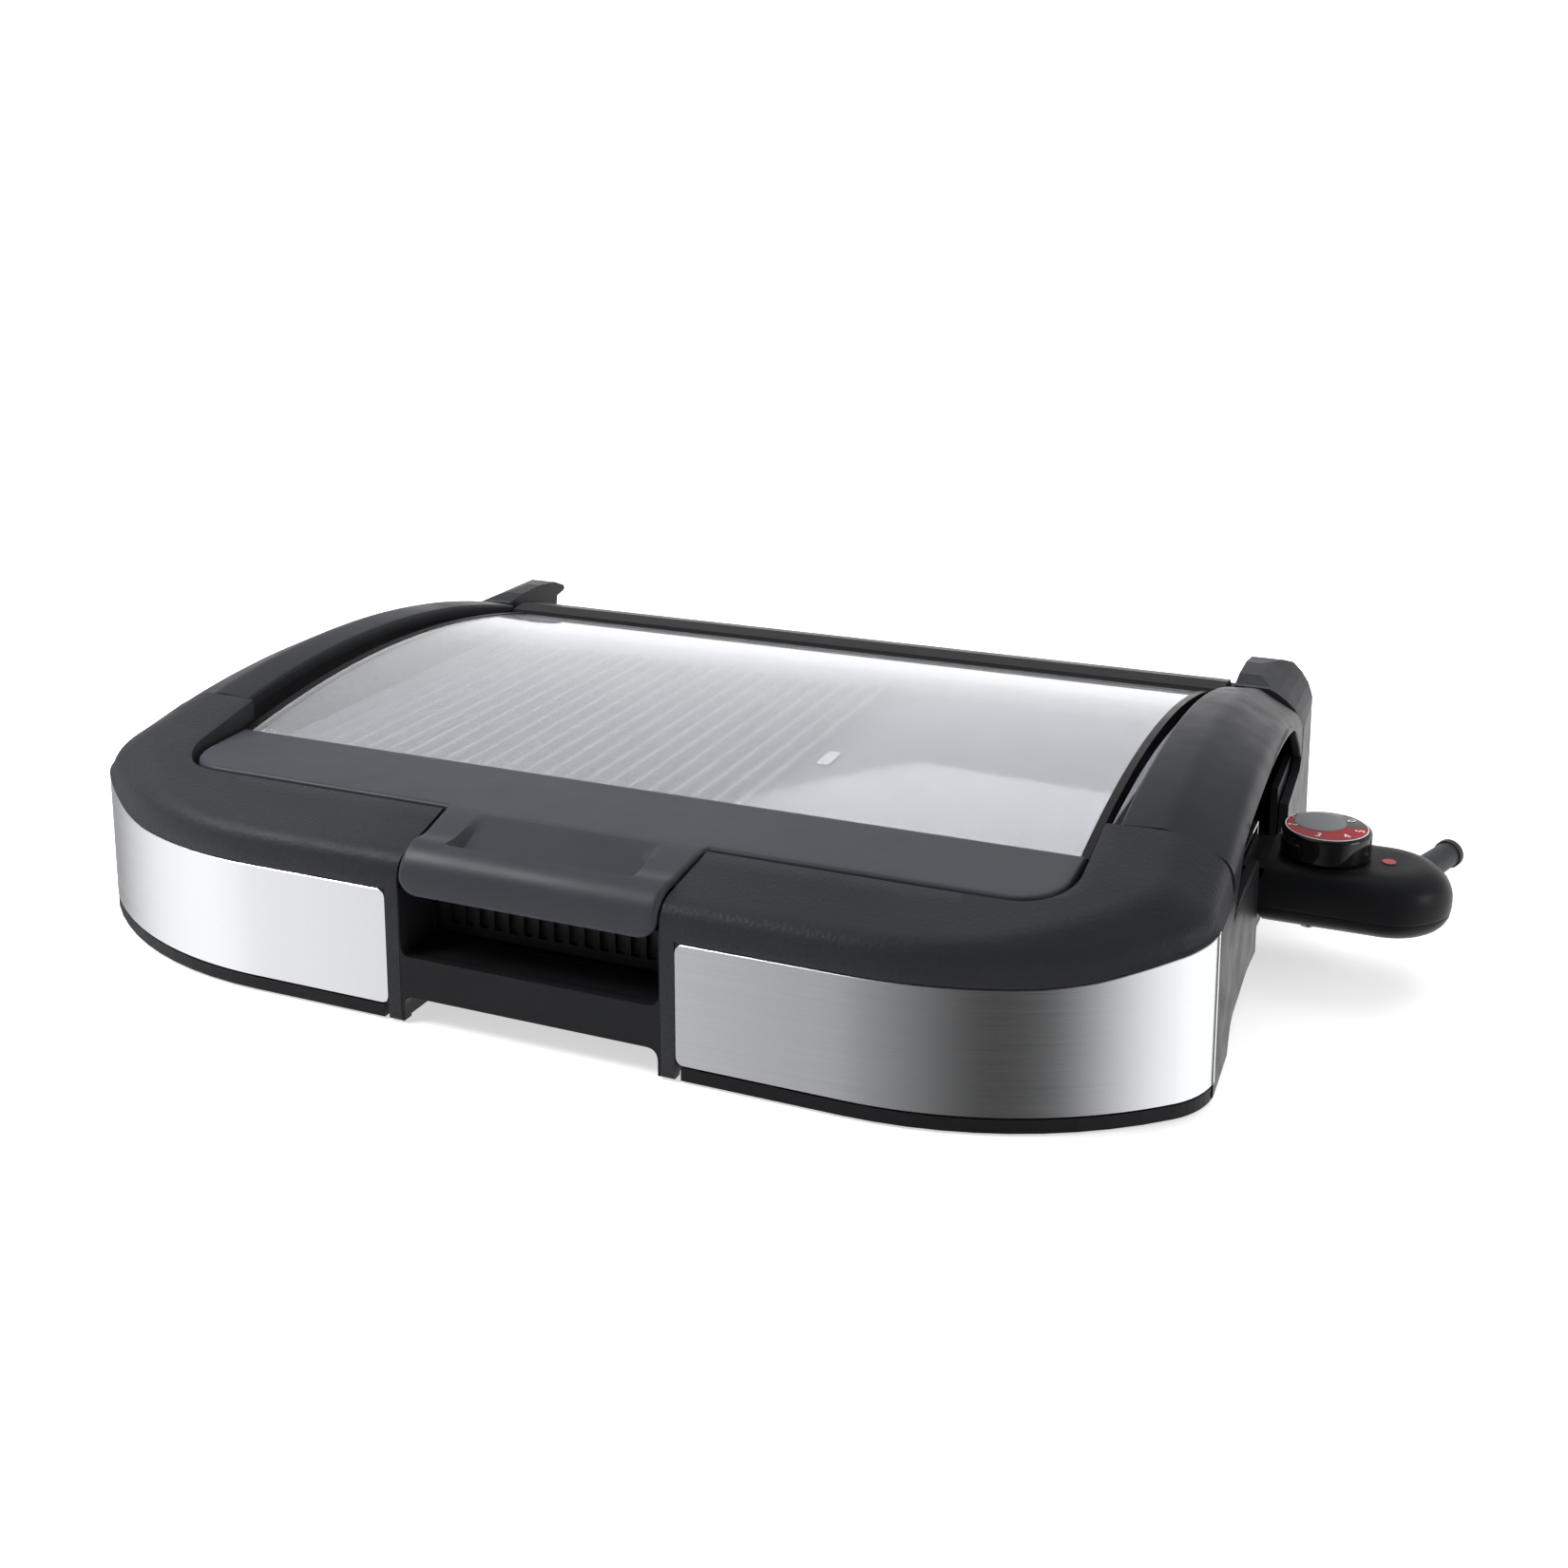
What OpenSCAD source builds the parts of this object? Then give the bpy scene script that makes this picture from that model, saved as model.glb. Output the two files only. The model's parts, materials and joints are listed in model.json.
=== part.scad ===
// Electric griddle with a hinged glass lid, a slide-out drip tray and a plug-in thermostat control.
// Written about the left-right mid plane and the table top, then set on the centre of its own footprint.

/* [Body] */
// Distance from the work origin to the front face
front = 180; // [178:1:182]
// Distance from the work origin to the rear face
rear = 204; // [202:1:206]
// Half width of the body at its rear corners
rear_half_w = 238; // [237:0.5:239]
// Radius of the bowed front
bow_r = 160; // [158:1:162]
// Radius of the front corners
corner_r = 32; // [30:1:34]
// Wall thickness of the plastic mouldings
wall_t = 4; // [3.5:0.5:4]
// Gap between the mouldings and the table, taken up by the rubber feet
foot_gap = 1; // [0.8:0.1:1.2]

/* [Front window] */
// Half width of the window between the front posts
window_half = 56; // [56:0.5:58]
// Height of the window sill
sill_z = 28; // [27:0.5:28]
// Height of the arch under the sill
arch_z = 11.5; // [10:0.5:13]

/* [Lid] */
// Half width of the glass
glass_half = 190; // [188:1:191]
// Glass thickness
glass_t = 4; // [3:0.5:4]
// Height of the glass at its crown
glass_crown = 87.4; // [86:0.2:88]
// Radius of the glass arch
glass_r = 540; // [530:5:550]
// Height of the hinge pin axis
hinge_z = 65; // [64.5:0.5:65.5]
// Distance of the hinge pin axis behind the work origin
hinge_y = 162; // [161:0.5:163]
// Radius of the hinge pins
pin_r = 3; // [2.5:0.5:3]

/* [Side handles] */
// Half distance between the inner edges of the two handles
handle_in = 201.5; // [201.5:0.5:202]
// Height of the handles at their crown
handle_crown = 95; // [94:0.5:96]
// Radius of the handle arch
handle_r = 500; // [480:10:520]
// Thickness of the handle's top wall
handle_t = 6; // [5:0.5:7]

/* [Cooking plate] */
// Height of the cooking surface
plate_z = 60; // [60:0.5:61]
// Half width of the plate
plate_half = 188; // [186:1:189]
// Height of the ribs above the cooking surface
rib_h = 3; // [2:0.5:3.5]
// Number of ribs on the ribbed part of the plate
rib_count = 22; // [18:1:24]

/* [Control] */
// Distance of the control's centre line behind the work origin
control_y = 21; // [20:0.5:22]
// Underside of the control's case
case_z0 = 20; // [19.5:0.5:20.5]
// Top of the control's case
case_z1 = 46; // [45.5:0.5:46.5]
// Half width of the case
case_half = 27; // [26.5:0.5:27]
// Distance of the case's outer end from the mid plane
case_end = 316.5; // [314:0.5:318]
// Radius of the knob
knob_r = 18.4; // [17.5:0.1:18.8]
// Top of the knob
knob_top = 58; // [57.5:0.5:60]

/* [Drip tray] */
// Half width of the tray
tray_half = 54; // [53:0.5:54.5]
// Length of the tray
tray_len = 200; // [190:5:210]

/* [Hidden] */
$fn = 48;

fit = 0.3;                     // gap between mouldings that only sit beside each other
bow_x = 126.5;                 // where the straight front runs into the bow
bow_sweep = 43;                // angle that the bow turns through before the corner
rear_corner_r = 16;
corner_x = bow_x + (bow_r - corner_r) * sin(bow_sweep);
corner_y = -front + bow_r - (bow_r - corner_r) * cos(bow_sweep);
half_w = corner_x + corner_r;  // widest point of the body
horn_end = 214.5;              // rearmost point of the cord hooks
lip_front = front + 1.5;       // the lid's lip stands a little proud of the front face
gland_x = 302;                 // cord gland: its place, turn from the Y axis, length and collar
gland_turn = 20;
gland_len = 30;
gland_collar_r = 6;
gland_reach = gland_x + gland_len * sin(gland_turn) + gland_collar_r * cos(gland_turn);
mid_x = (gland_reach - half_w) / 2;
mid_y = (horn_end - lip_front) / 2;

seam_y = -84;                  // front seam of the side handles
handle_rear_y = 150;           // rear seam of the side handles
band_end_y = -112;
band_z0 = 6.5;
band_t = 1;
post_half = 63;                // half distance between the two bands
panel_top = 54;                // top edge of the side panels
notch_y0 = -8;                 // opening in the right side for the control
notch_y1 = 94;
rear_panel_top = 39;
ledge_z = 67;                  // ledge that the lid's front frame rests on
recess_y = -142.5;             // front edge of the lid recess
recess_half = 196.5;
recess_r = 22;
glass_mid = 14;                // where the glass arch peaks, and its front and rear edges
glass_y0 = -97.7;
glass_y1 = 144.2;
well_z = 46;
well_half = 201.8;
well_t = 2.5;
well_front = -96.5;
well_rear = 186.5;
plate_t = 4;
plate_y0 = -92;
plate_y1 = 138;
floor_half = 176;              // opening in the floor of the plate's well
floor_y0 = -72;
floor_y1 = 116;
drain_x = 49.4;
drain_y = 5;
drain_r = 3;
screw_r = 1.6;
base_screw_spots = [[-180, -78], [180, -78], [-180, 122], [180, 122]];
tray_front = -155;
tray_z0 = 29;
tray_z1 = 45.5;
contact_z = 38;                // height of the probe and the contacts
contact_pitch = 12;
case_x0 = 241;
split_z = (case_z0 + case_z1) / 2;
knob_x = 265.6;
knob_z0 = 48.3;
element_r = 3.25;
element_z = plate_z - plate_t - element_r - 0.15;
probe_r = 3;
blade_r = 2;                   // terminal pins
spindle_r = 3;
lamp_spot = [291, 20.5];
shell_t = 5;                   // wall of the control's case
roof_t = 3;
case_screw_spots = [[262, 1.5], [262, 40.5], [306, 21]];
cap_spot = [-2.4, 4.8];        // the knob's cap sits off the knob's centre

function arc(c, r, a0, a1, n) =
    [for (i = [0:n]) let (a = a0 + (a1 - a0) * i / n) [c[0] + r * cos(a), c[1] + r * sin(a)]];

// Right half of the plan outline, moved inward by d, from the front to the rear.
function half_outline(d) = concat(
    [[0, d - front]],
    arc([bow_x, bow_r - front], bow_r - d, -90, bow_sweep - 90, 10),
    arc([corner_x, corner_y], corner_r - d, bow_sweep - 90, 0, 8),
    arc([rear_half_w - rear_corner_r, rear - rear_corner_r], rear_corner_r - d, 0, 90, 6),
    [[0, rear - d]]);

function mirrored(points) = [for (i = [len(points) - 2:-1:1]) [-points[i][0], points[i][1]]];

function outline(d) = concat(half_outline(d), mirrored(half_outline(d)));

// Height of an arch of radius r whose crown is at (y0, crown).
function arch_height(y, y0, crown, r) = crown - r + sqrt(r * r - (y - y0) * (y - y0));

function handle_height(y) = arch_height(y, 8, handle_crown, handle_r);

// Profile of the top cover from the front face back to the seam of the handles, lowered by d.
function cover_profile(d) = concat(
    [[-front - 5, -5]],
    [[-front - 5, 57 - d]],
    arc([-front + 12, 57.5 - d], 12, 180, 102, 8),
    [[seam_y, handle_height(seam_y) - d], [seam_y, -5]]);

module placed() translate([-mid_x, -mid_y, 0]) children();

// Extrudes a (y, z) profile along X from x0 to x1.
module along_x(x0, x1) translate([x0, 0, 0]) rotate([90, 0, 90]) linear_extrude(x1 - x0) children();

// Extrudes an (x, z) profile along Y from y0 to y1.
module along_y(y0, y1)
    translate([0, y1, 0]) rotate([90, 0, 0]) linear_extrude(y1 - y0) children();

module both_sides() { children(); mirror([1, 0, 0]) children(); }

module block(x0, x1, y0, y1, z0, z1)
    translate([x0, y0, z0]) cube([x1 - x0, y1 - y0, z1 - z0]);

module rod_x(x0, x1, y, z, r) translate([x0, y, z]) rotate([0, 90, 0]) cylinder(h = x1 - x0, r = r);

module slab(d, z0, z1) translate([0, 0, z0]) linear_extrude(z1 - z0) polygon(outline(d));

module skirt(d0, d1, z0, z1)
    translate([0, 0, z0]) linear_extrude(z1 - z0)
        difference() { polygon(outline(d0)); polygon(outline(d1)); }

// Sweeps an (x, height below the crown) section along an arch that runs front to back.
module arched(y0, crown, r, ya, yb) {
    a0 = asin((ya - y0) / r);
    a1 = asin((yb - y0) / r);
    translate([0, y0, crown - r]) rotate([0, 90, 0]) rotate([0, 0, 180 - a1])
        rotate_extrude(angle = a1 - a0, $fn = 720) translate([r, 0]) children();
}

// Plan with rounded front corners, from y0 back to y1.
module rounded_plan(half, y0, y1, r)
    polygon(concat(arc([half - r, y0 + r], r, -90, 0, 6), [[half, y1], [-half, y1]],
                   arc([r - half, y0 + r], r, 180, 270, 6)));

// Plan of the cut-out that the lid's front frame and handle tab drop into, grown by gap.
module recess_plan(gap) {
    rounded_plan(recess_half + gap, recess_y - gap, seam_y + 2, recess_r + gap);
    polygon([[-58.5 - gap, recess_y + 5], [-window_half - gap, -168], [-window_half - gap, -front - 6],
             [window_half + gap, -front - 6], [window_half + gap, -168], [58.5 + gap, recess_y + 5]]);
}

module recess_wall()
    translate([0, 0, ledge_z - 3]) linear_extrude(36) intersection() {
        difference() { recess_plan(2.5); recess_plan(-0.01); }
        polygon(outline(1));
        translate([-220, 10 - front]) square([440, 85]);
    }

// Room under the sides between the front and rear feet.
module side_arch() {
    both_sides() along_x(225, 260) polygon([[-82, -1], [-80, 9], [-74, 12], [-35, 13], [60, -1]]);
}

module front_arch() {
    along_y(-front - 10, -front + 40)
        polygon(concat([[-window_half + 1, -1]], arc([-window_half + 13, arch_z - 12], 12, 180, 90, 5),
                       arc([window_half - 13, arch_z - 12], 12, 90, 0, 5), [[window_half - 1, -1]]));
}

// Height of the steel bands' top edge, rising towards the sides.
module band_side(gap)
    along_x(-260, 260) polygon([[-front - 5, band_z0 - gap], [-front - 5, 53 + gap], [-165, 53 + gap],
                                [-148, 56 + gap], [-130, 60.5 + gap], [band_end_y + gap, 63 + gap],
                                [band_end_y + gap, band_z0 - gap]]);

module handle_roll() {
    along_y(-front - 10, seam_y + 1)
        polygon([[-260, -5], [-260, 71], [-242, 79], [-222, 88.5], [222, 88.5], [242, 79], [260, 71], [260, -5]]);
}

/* Body */

module base_housing() {
    color("#3a3c40") placed() difference() {
        union() {
            skirt(wall_t + 0.8, wall_t + 3.8, foot_gap, 45);
            intersection() {
                skirt(fit, wall_t + 1.5, foot_gap, band_z0 - fit);
                block(-260, 260, -front - 5, band_end_y, 0, 20);
            }
            slab(wall_t + 2, 6, 8.5);
            for (p = base_screw_spots) translate([p[0], p[1], 8]) cylinder(h = well_z - 8, r = 6);
        }
        block(-post_half - 1.3, post_half + 1.3, -front - 5, -front + 24, -1, 60);
        block(200, 260, notch_y0, notch_y1, 12.5, 60);
        side_arch();
        for (i = [-7:7]) block(i * 20 - 4, i * 20 + 4, -60, 110, 5, 10);
        for (p = base_screw_spots) translate([p[0], p[1], 5]) cylinder(h = 14, r = screw_r + 0.05);
    }
}

module front_housing() {
    color("#45484d") placed() difference() {
        intersection() {
            union() {
                difference() {
                    slab(0, foot_gap, 100);
                    intersection() {
                        slab(wall_t, -1, 100);
                        union() {
                            along_x(-260, 260) polygon(cover_profile(3));
                            block(-260, 260, seam_y - 1, rear, -5, 60);
                        }
                    }
                }
                block(-recess_half - 1, recess_half + 1, -150, well_front - 1.2, ledge_z - 3, ledge_z);
                recess_wall();
                both_sides() block(window_half, window_half + 4, -front + 1, -front + 22, foot_gap, 62);
                block(-window_half - 1, window_half + 1, -front, -front + 6, 5, sill_z);
                block(-window_half - 1, window_half + 1, -front, -front + 20, sill_z - 3, sill_z);
            }
            union() {
                intersection() { along_x(-260, 260) polygon(cover_profile(0)); handle_roll(); }
                block(-260, 260, seam_y - 1, notch_y1 - fit, 0, panel_top);
            }
        }
        translate([0, 0, ledge_z]) linear_extrude(50) recess_plan(0);
        block(-window_half, window_half, -front - 5, -front + 40, sill_z, 100);
        front_arch();
        side_arch();
        block(-230, 230, seam_y, 300, -5, 120);
        block(200, 260, notch_y0, 300, -5, 120);
        intersection() {
            difference() { slab(-2, 0, 80); slab(band_t + 0.2, -1, 90); }
            band_side(0.2);
            difference() {
                block(-260, 260, -front - 5, band_end_y + 1, 0, 80);
                block(-post_half, post_half, -front - 6, 0, -1, 90);
            }
        }
        intersection() {
            skirt(-2, wall_t + 3, -1, band_z0);
            difference() {
                block(-260, 260, -front - 5, band_end_y, -2, 80);
                block(-post_half, post_half, -front - 6, 0, -3, 90);
            }
        }
        along_x(-260, 260) polygon([[-54, panel_top], [notch_y1 + 5, rear_panel_top + 2],
                                    [notch_y1 + 5, 80], [-54, 80]]);
    }
}

module band(side) {
    intersection() {
        skirt(0, band_t, band_z0, 70);
        band_side(-0.1);
        scale([side, 1, 1]) block(post_half + 0.3, 260, -front - 5, band_end_y - 0.2, 0, 80);
    }
}

module left_band() { color("#e8e8ea") placed() mirror([1, 0, 0]) band(1); }

module right_band() { color("#e8e8ea") placed() band(1); }

// Section of a side handle: a flat top, a sloping outer face and a short outer edge.
module handle_section(top_w)
    polygon([[0, handle_in], [0, handle_in + top_w], [-13, 240], [-18, 240], [-18, 236],
             [-14.5, 236], [-handle_t, 219], [-handle_t, handle_in]]);

module handle() {
    arched(8, handle_crown, handle_r, seam_y + fit, handle_rear_y - fit) handle_section(19);
    // front root that carries the handle's load down to the side panel
    intersection() {
        skirt(2, wall_t + 4, panel_top + fit, 100);
        along_x(200, 260) polygon([[seam_y + fit, 40], [seam_y + fit, handle_height(seam_y) - 15],
                                   [-50, handle_height(-50) - 15], [-66, 64], [-74, 40]]);
    }
}

module right_handle() { color("#4a4d52") placed() handle(); }

module left_handle() { color("#4a4d52") placed() mirror([1, 0, 0]) handle(); }

// Rear corner post with the cord hook that leans back over it.
module rear_post() {
    difference() {
        union() {
            intersection() {
                skirt(0, wall_t, foot_gap, 64);
                along_x(205, 260) polygon([[notch_y1 + fit, 0], [notch_y1 + fit, 25], [97, 37], [140, rear_panel_top],
                                           [handle_rear_y, 46], [handle_rear_y, 70], [rear + 1, 70], [rear + 1, 0]]);
            }
            intersection() {
                block(205, 240, handle_rear_y, rear, 46, 75);
                slab(0, 0, 100);
            }
            intersection() {
                along_x(205, rear_half_w) polygon([[handle_rear_y, 70], [handle_rear_y, 74.5], [165, 77],
                                                   [185, 77.5], [203, 75.5], [213, 71.5], [horn_end, 69.5],
                                                   [horn_end - 1.5, 68], [205.5, 66.5], [rear, 58], [190, 58]]);
                // the hook is rounded off towards the side
                translate([0, 0, 50]) linear_extrude(40)
                    polygon([[200, 140], [rear_half_w, 140], [rear_half_w, 186], [237, 193], [234.5, 199],
                             [230, 204.5], [224, 209], [216, 212.8], [208, horn_end], [200, horn_end]]);
            }
        }
        block(209, rear_half_w - 4.5, handle_rear_y + 4, rear - 4, 40, 66);
        // its outer shoulder is rounded
        along_y(handle_rear_y - 5, horn_end + 5)
            polygon([[208, 80], [211, 77.6], [216, 76.9], [221, 75.4], [226, 73], [230.5, 69.9], [234.5, 66],
                     [237, 62], [239, 57], [250, 57], [250, 100], [208, 100]]);
        side_arch();
    }
}

module right_rear_post() { color("#4a4d52") placed() rear_post(); }

module left_rear_post() { color("#4a4d52") placed() mirror([1, 0, 0]) rear_post(); }

module rear_panel() {
    color("#34363a") placed() difference() {
        union() {
            intersection() {
                skirt(0, 3, 5, 60);
                block(-204.7, 204.7, rear - 6, rear + 1, 0, 70);
            }
            block(-204.7, 204.7, 188, rear - 1, 58, 60);
        }
        for (i = [-8:8]) block(i * 20 - 4, i * 20 + 4, rear - 8, rear + 2, 30, 50);
        block(-150, 150, rear - 8, rear + 2, 0, 10);
    }
}

module plate_well() {
    wall_top = concat([[well_front, well_z]], [[well_front, ledge_z]],
                      [for (y = [seam_y + 1:6:handle_rear_y]) [y, handle_height(y) - handle_t - fit]],
                      [[handle_rear_y, 66], [well_rear, 66], [well_rear, well_z]]);
    color("#1b1c1e") placed() difference() {
        union() {
            both_sides() along_x(well_half, well_half + well_t) polygon(wall_top);
            block(-well_half - 1, well_half + 1, well_front, well_front + well_t, well_z, ledge_z - 3.3);
            block(-well_half - 1, well_half + 1, well_rear - well_t, well_rear, well_z, 58);
            block(-well_half - 1, well_half + 1, well_front, well_rear, well_z, well_z + 2);
        }
        block(-floor_half, floor_half, floor_y0, floor_y1, well_z - 1, well_z + 4);
        block(floor_half - 4, 199, 2, 40, well_z - 1, well_z + 4);
        both_sides() rod_x(well_half - 5, well_half + 5, hinge_y, hinge_z, pin_r);
    }
}

module heat_reflector() {
    color("#b9bbbd") placed() difference() {
        union() {
            block(-184, 184, -78, 122, well_z + 2, well_z + 2.6);
            both_sides() block(183.4, 184, -78, 122, well_z + 2, well_z + 3.1);
        }
        block(145, 187, 8, 34, well_z, well_z + 8);
        translate([drain_x, drain_y, well_z]) cylinder(h = 6, r = 12);
    }
}

module plate_supports() {
    color("#8f9194") placed() for (x = [-150, 150], y = [-87, 131])
        translate([x, y, well_z + 2]) cylinder(h = plate_z - plate_t - well_z - 2, r = 4);
}

module grill_plate() {
    rib_x0 = -178;
    rib_x1 = 38;
    pitch = (rib_x1 - rib_x0) / (rib_count - 1);
    color("#2b2c2e") placed() difference() {
        union() {
            difference() {
                block(-plate_half, plate_half, plate_y0, plate_y1, plate_z - plate_t, plate_z + 5);
                block(-plate_half + 4, plate_half - 4, plate_y0 + 4, plate_y1 - 4, plate_z, plate_z + 6);
            }
            for (i = [0:rib_count - 1])
                block(rib_x0 + i * pitch - 1.6, rib_x0 + i * pitch + 1.6, plate_y0 + 14, plate_y1 - 14,
                      plate_z - 0.5, plate_z + rib_h);
            block(150, 180, 14, 28, 32, plate_z - 1);
        }
        block(drain_x - drain_r, drain_x + drain_r, drain_y - 6, drain_y + 6, 40, 70);
        for (y = [drain_y - 6, drain_y + 6]) translate([drain_x, y, 40]) cylinder(h = 40, r = drain_r);
        rod_x(154, 190, control_y, contact_z, probe_r + 0.6);
    }
}

// One quarter bend of the heater tube, centred at (x, y).
module bend(x, y, a) translate([x, y, element_z]) rotate([0, 0, a])
    rotate_extrude(angle = 90) translate([15, 0]) circle(r = element_r);

module heating_element() {
    x0 = -150;
    x1 = 192;
    y0 = -50;
    y1 = 92;
    lead = contact_pitch;
    color("#6d6f72") placed() {
        bend(x0 + 15, y0 + 15, 180);
        bend(x0 + 15, y1 - 15, 90);
        bend(x1 - 15, y0 + 15, 270);
        bend(x1 - 15, y1 - 15, 0);
        for (y = [y0, y1]) rod_x(x0 + 15, x1 - 15, y, element_z, element_r);
        translate([x0, y0 + 15, element_z]) rotate([-90, 0, 0]) cylinder(h = y1 - y0 - 30, r = element_r);
        translate([x1, y0 + 15, element_z]) rotate([-90, 0, 0])
            cylinder(h = control_y - lead - y0 - 11, r = element_r);
        translate([x1, control_y + lead - 4, element_z]) rotate([-90, 0, 0])
            cylinder(h = y1 - 11 - control_y - lead, r = element_r);
        // thinner cold ends that drop into the terminal block
        for (s = [-1, 1]) translate([x1, control_y + s * lead, 45.5]) cylinder(h = element_z - 45.5, r = 2.2);
    }
}

module terminal_block() {
    color("#d9d4c8") placed() difference() {
        block(186, 206, 2, 40, 29, 45.5);
        rod_x(180, 210, control_y, contact_z, probe_r + 0.8);
        for (s = [-1, 1]) rod_x(196, 210, control_y + s * contact_pitch, contact_z, blade_r);
    }
}

module terminal_pins() {
    color("#c9cbcd") placed() for (s = [-1, 1]) {
        rod_x(196, 226, control_y + s * contact_pitch, contact_z, blade_r);
        translate([226, control_y + s * contact_pitch, contact_z]) sphere(r = blade_r);
    }
}

module socket_guard() {
    color("#9fa1a4") placed() difference() {
        block(206.2, 234, -6, 48, 24.5, 45.7);
        block(207.2, 240, -5, 47, 25.5, 44.7);
        block(200, 210, 3, 39, 30, 44);
    }
}

module tray_shelf() {
    color("#232427") placed() difference() {
        union() {
            block(-62, 62, tray_front - 2, tray_front + tray_len + 5, 26, sill_z);
            both_sides() block(tray_half + 0.8, tray_half + 2.8, tray_front - 2, tray_front + tray_len + 5, 26, 40);
            block(-tray_half, tray_half, tray_front + tray_len + 3, tray_front + tray_len + 5, 26, 40);
            for (x = [-50, 50], y = [-120, 20]) translate([x, y, 8.5]) cylinder(h = 18, r = 3);
        }
        for (i = [-2:2]) block(i * 20 - 5, i * 20 + 5, tray_front + 30, tray_front + tray_len - 20, 20, 29);
    }
}

module hinge_pins() {
    color("#b4b6b8") placed() both_sides() rod_x(191, well_half + well_t, hinge_y, hinge_z, pin_r);
}

module rubber_feet() {
    color("#17181a") placed() both_sides() for (p = [[206, -104], [214, 172]])
        translate([p[0], p[1], 0]) cylinder(h = 6, r = 9);
}

module base_screws() {
    color("#a9abad") placed() for (p = base_screw_spots) translate([p[0], p[1], 0]) {
        translate([0, 0, 3.6]) cylinder(h = 2.4, r = 3.4);
        translate([0, 0, 5]) cylinder(h = 12, r = screw_r);
    }
}

/* Drip tray */

module drip_tray() {
    comb_step = 6.7;
    color("#1d1e20") placed() difference() {
        block(-tray_half, tray_half, tray_front, tray_front + tray_len, tray_z0, tray_z1);
        block(-tray_half + 1.5, tray_half - 1.5, tray_front + 4, tray_front + tray_len - 1.5, tray_z0 + 1.5, 60);
        for (i = [-7:7]) block(i * comb_step - 1.9, i * comb_step + 1.9, tray_front - 1, tray_front + 2,
                               tray_z0 + 4, tray_z1 - 1.5);
    }
}

/* Lid */

module lid_glass() {
    color("#a8adb3") placed() arched(glass_mid, glass_crown, glass_r, glass_y0, glass_y1)
        translate([-glass_t, -glass_half]) square([glass_t, 2 * glass_half]);
}

// Profile of the front frame and its handle tab: a shallow slope, a rolled front and a hanging lip.
function tab_top(d) = concat(
    [[-98, 77.3 - d], [recess_y, 75.6 - d], [-158, 73 - d]],
    arc([-lip_front + 14, 58.6], 14 - d, 75, 180, 8),
    [[-lip_front + d, 54]]);

module lid_front_frame() {
    color("#5b5f68") placed() difference() {
        union() {
            intersection() {
                along_x(-200, 200) polygon([[-98, 77.3], [-142, 75.6], [-142, ledge_z + 0.5], [-98, ledge_z + 0.5]]);
                translate([0, 0, 60]) linear_extrude(30) rounded_plan(193, -140.5, -98, 20);
            }
            intersection() {
                along_x(-60, 60) polygon(concat(tab_top(0), [[-lip_front + 3, 54]],
                                                [for (i = [8:-1:0]) arc([-lip_front + 14, 58.6], 11, 75, 180, 8)[i]],
                                                [[-150, 68], [-98, 68]]));
                translate([0, 0, 40]) linear_extrude(60)
                    polygon([[-56.5, -141], [-54, -166], [-54, -190], [54, -190], [54, -166], [56.5, -141],
                             [56.5, -100], [-56.5, -100]]);
            }
            block(-41, 41, -172, -141.5, 62.5, 71);
        }
        // finger recess: a ramp that deepens towards the front, where the fingers hook its wall
        along_x(-38, 38) polygon([[-143.5, 76], [-144, 74], [-169, 65.5], [-169, 76]]);
    }
}

module lid_rear_rail() {
    color("#303236") placed() difference() {
        along_x(-well_half + 1.2, well_half - 1.2)
            polygon([[144.5, 66], [144.5, 70.5], [148, 72.6], [158, 74], [167, 72.6], [171, 67],
                     [170, 61], [165, 57.5], [158, 58], [152, 62]]);
        along_x(-190, 190) polygon([[146, 69.2], [144, 68.5], [144, 69.7]]);
        both_sides() rod_x(188, well_half, hinge_y, hinge_z, pin_r + 0.05); // running fit
    }
}

module lid_trim()
    arched(glass_mid, glass_crown, glass_r, glass_y0, glass_y1)
        polygon([[0.6, glass_half + 0.2], [0.6, 193.5], [-6, 193.5], [-6, 189], [-glass_t - 0.2, 189],
                 [-glass_t - 0.2, glass_half + 0.2]]);

module right_lid_trim() { color("#26282b") placed() lid_trim(); }

module left_lid_trim() { color("#26282b") placed() mirror([1, 0, 0]) lid_trim(); }

module lid_seal() {
    color("#17181a") placed() block(-188.6, 188.6, -97.6, -93, ledge_z + 1, 71.6);
}

module lid_screws() {
    color("#a9abad") placed() for (x = [-160, -80, 80, 160]) translate([x, -120, ledge_z + 0.2])
        cylinder(h = 0.3, r = 3);
}

/* Control */

module case_plan(d)
    polygon(concat([[case_x0 + d, control_y - case_half + d]],
                   arc([case_end - case_half, control_y], case_half - d, -90, 90, 12),
                   [[case_x0 + d, control_y + case_half - d]]));

module gland_place()
    translate([gland_x, control_y + case_half - 6, 35]) rotate([0, 0, -gland_turn]) rotate([-90, 0, 0]) children();

module control_lower_shell() {
    color("#2c2e31") placed() difference() {
        union() {
            translate([0, 0, case_z0 + 2.5]) linear_extrude(split_z - 0.05 - case_z0 - 2.5) case_plan(0);
            translate([0, 0, case_z0]) linear_extrude(3) case_plan(3);
        }
        difference() {
            translate([0, 0, case_z0 + 2]) linear_extrude(30) case_plan(shell_t);
            for (p = case_screw_spots) translate([p[0], p[1], case_z0]) cylinder(h = 20, r = 3.2);
        }
        block(case_x0 - 1, case_x0 + 6, control_y - 20, control_y + 20, 28, 60);
        gland_place() cylinder(h = 40, r = 6.1, center = true);
        for (p = case_screw_spots) translate([p[0], p[1], case_z0 - 1]) cylinder(h = 30, r = screw_r + 0.05);
    }
}

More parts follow.
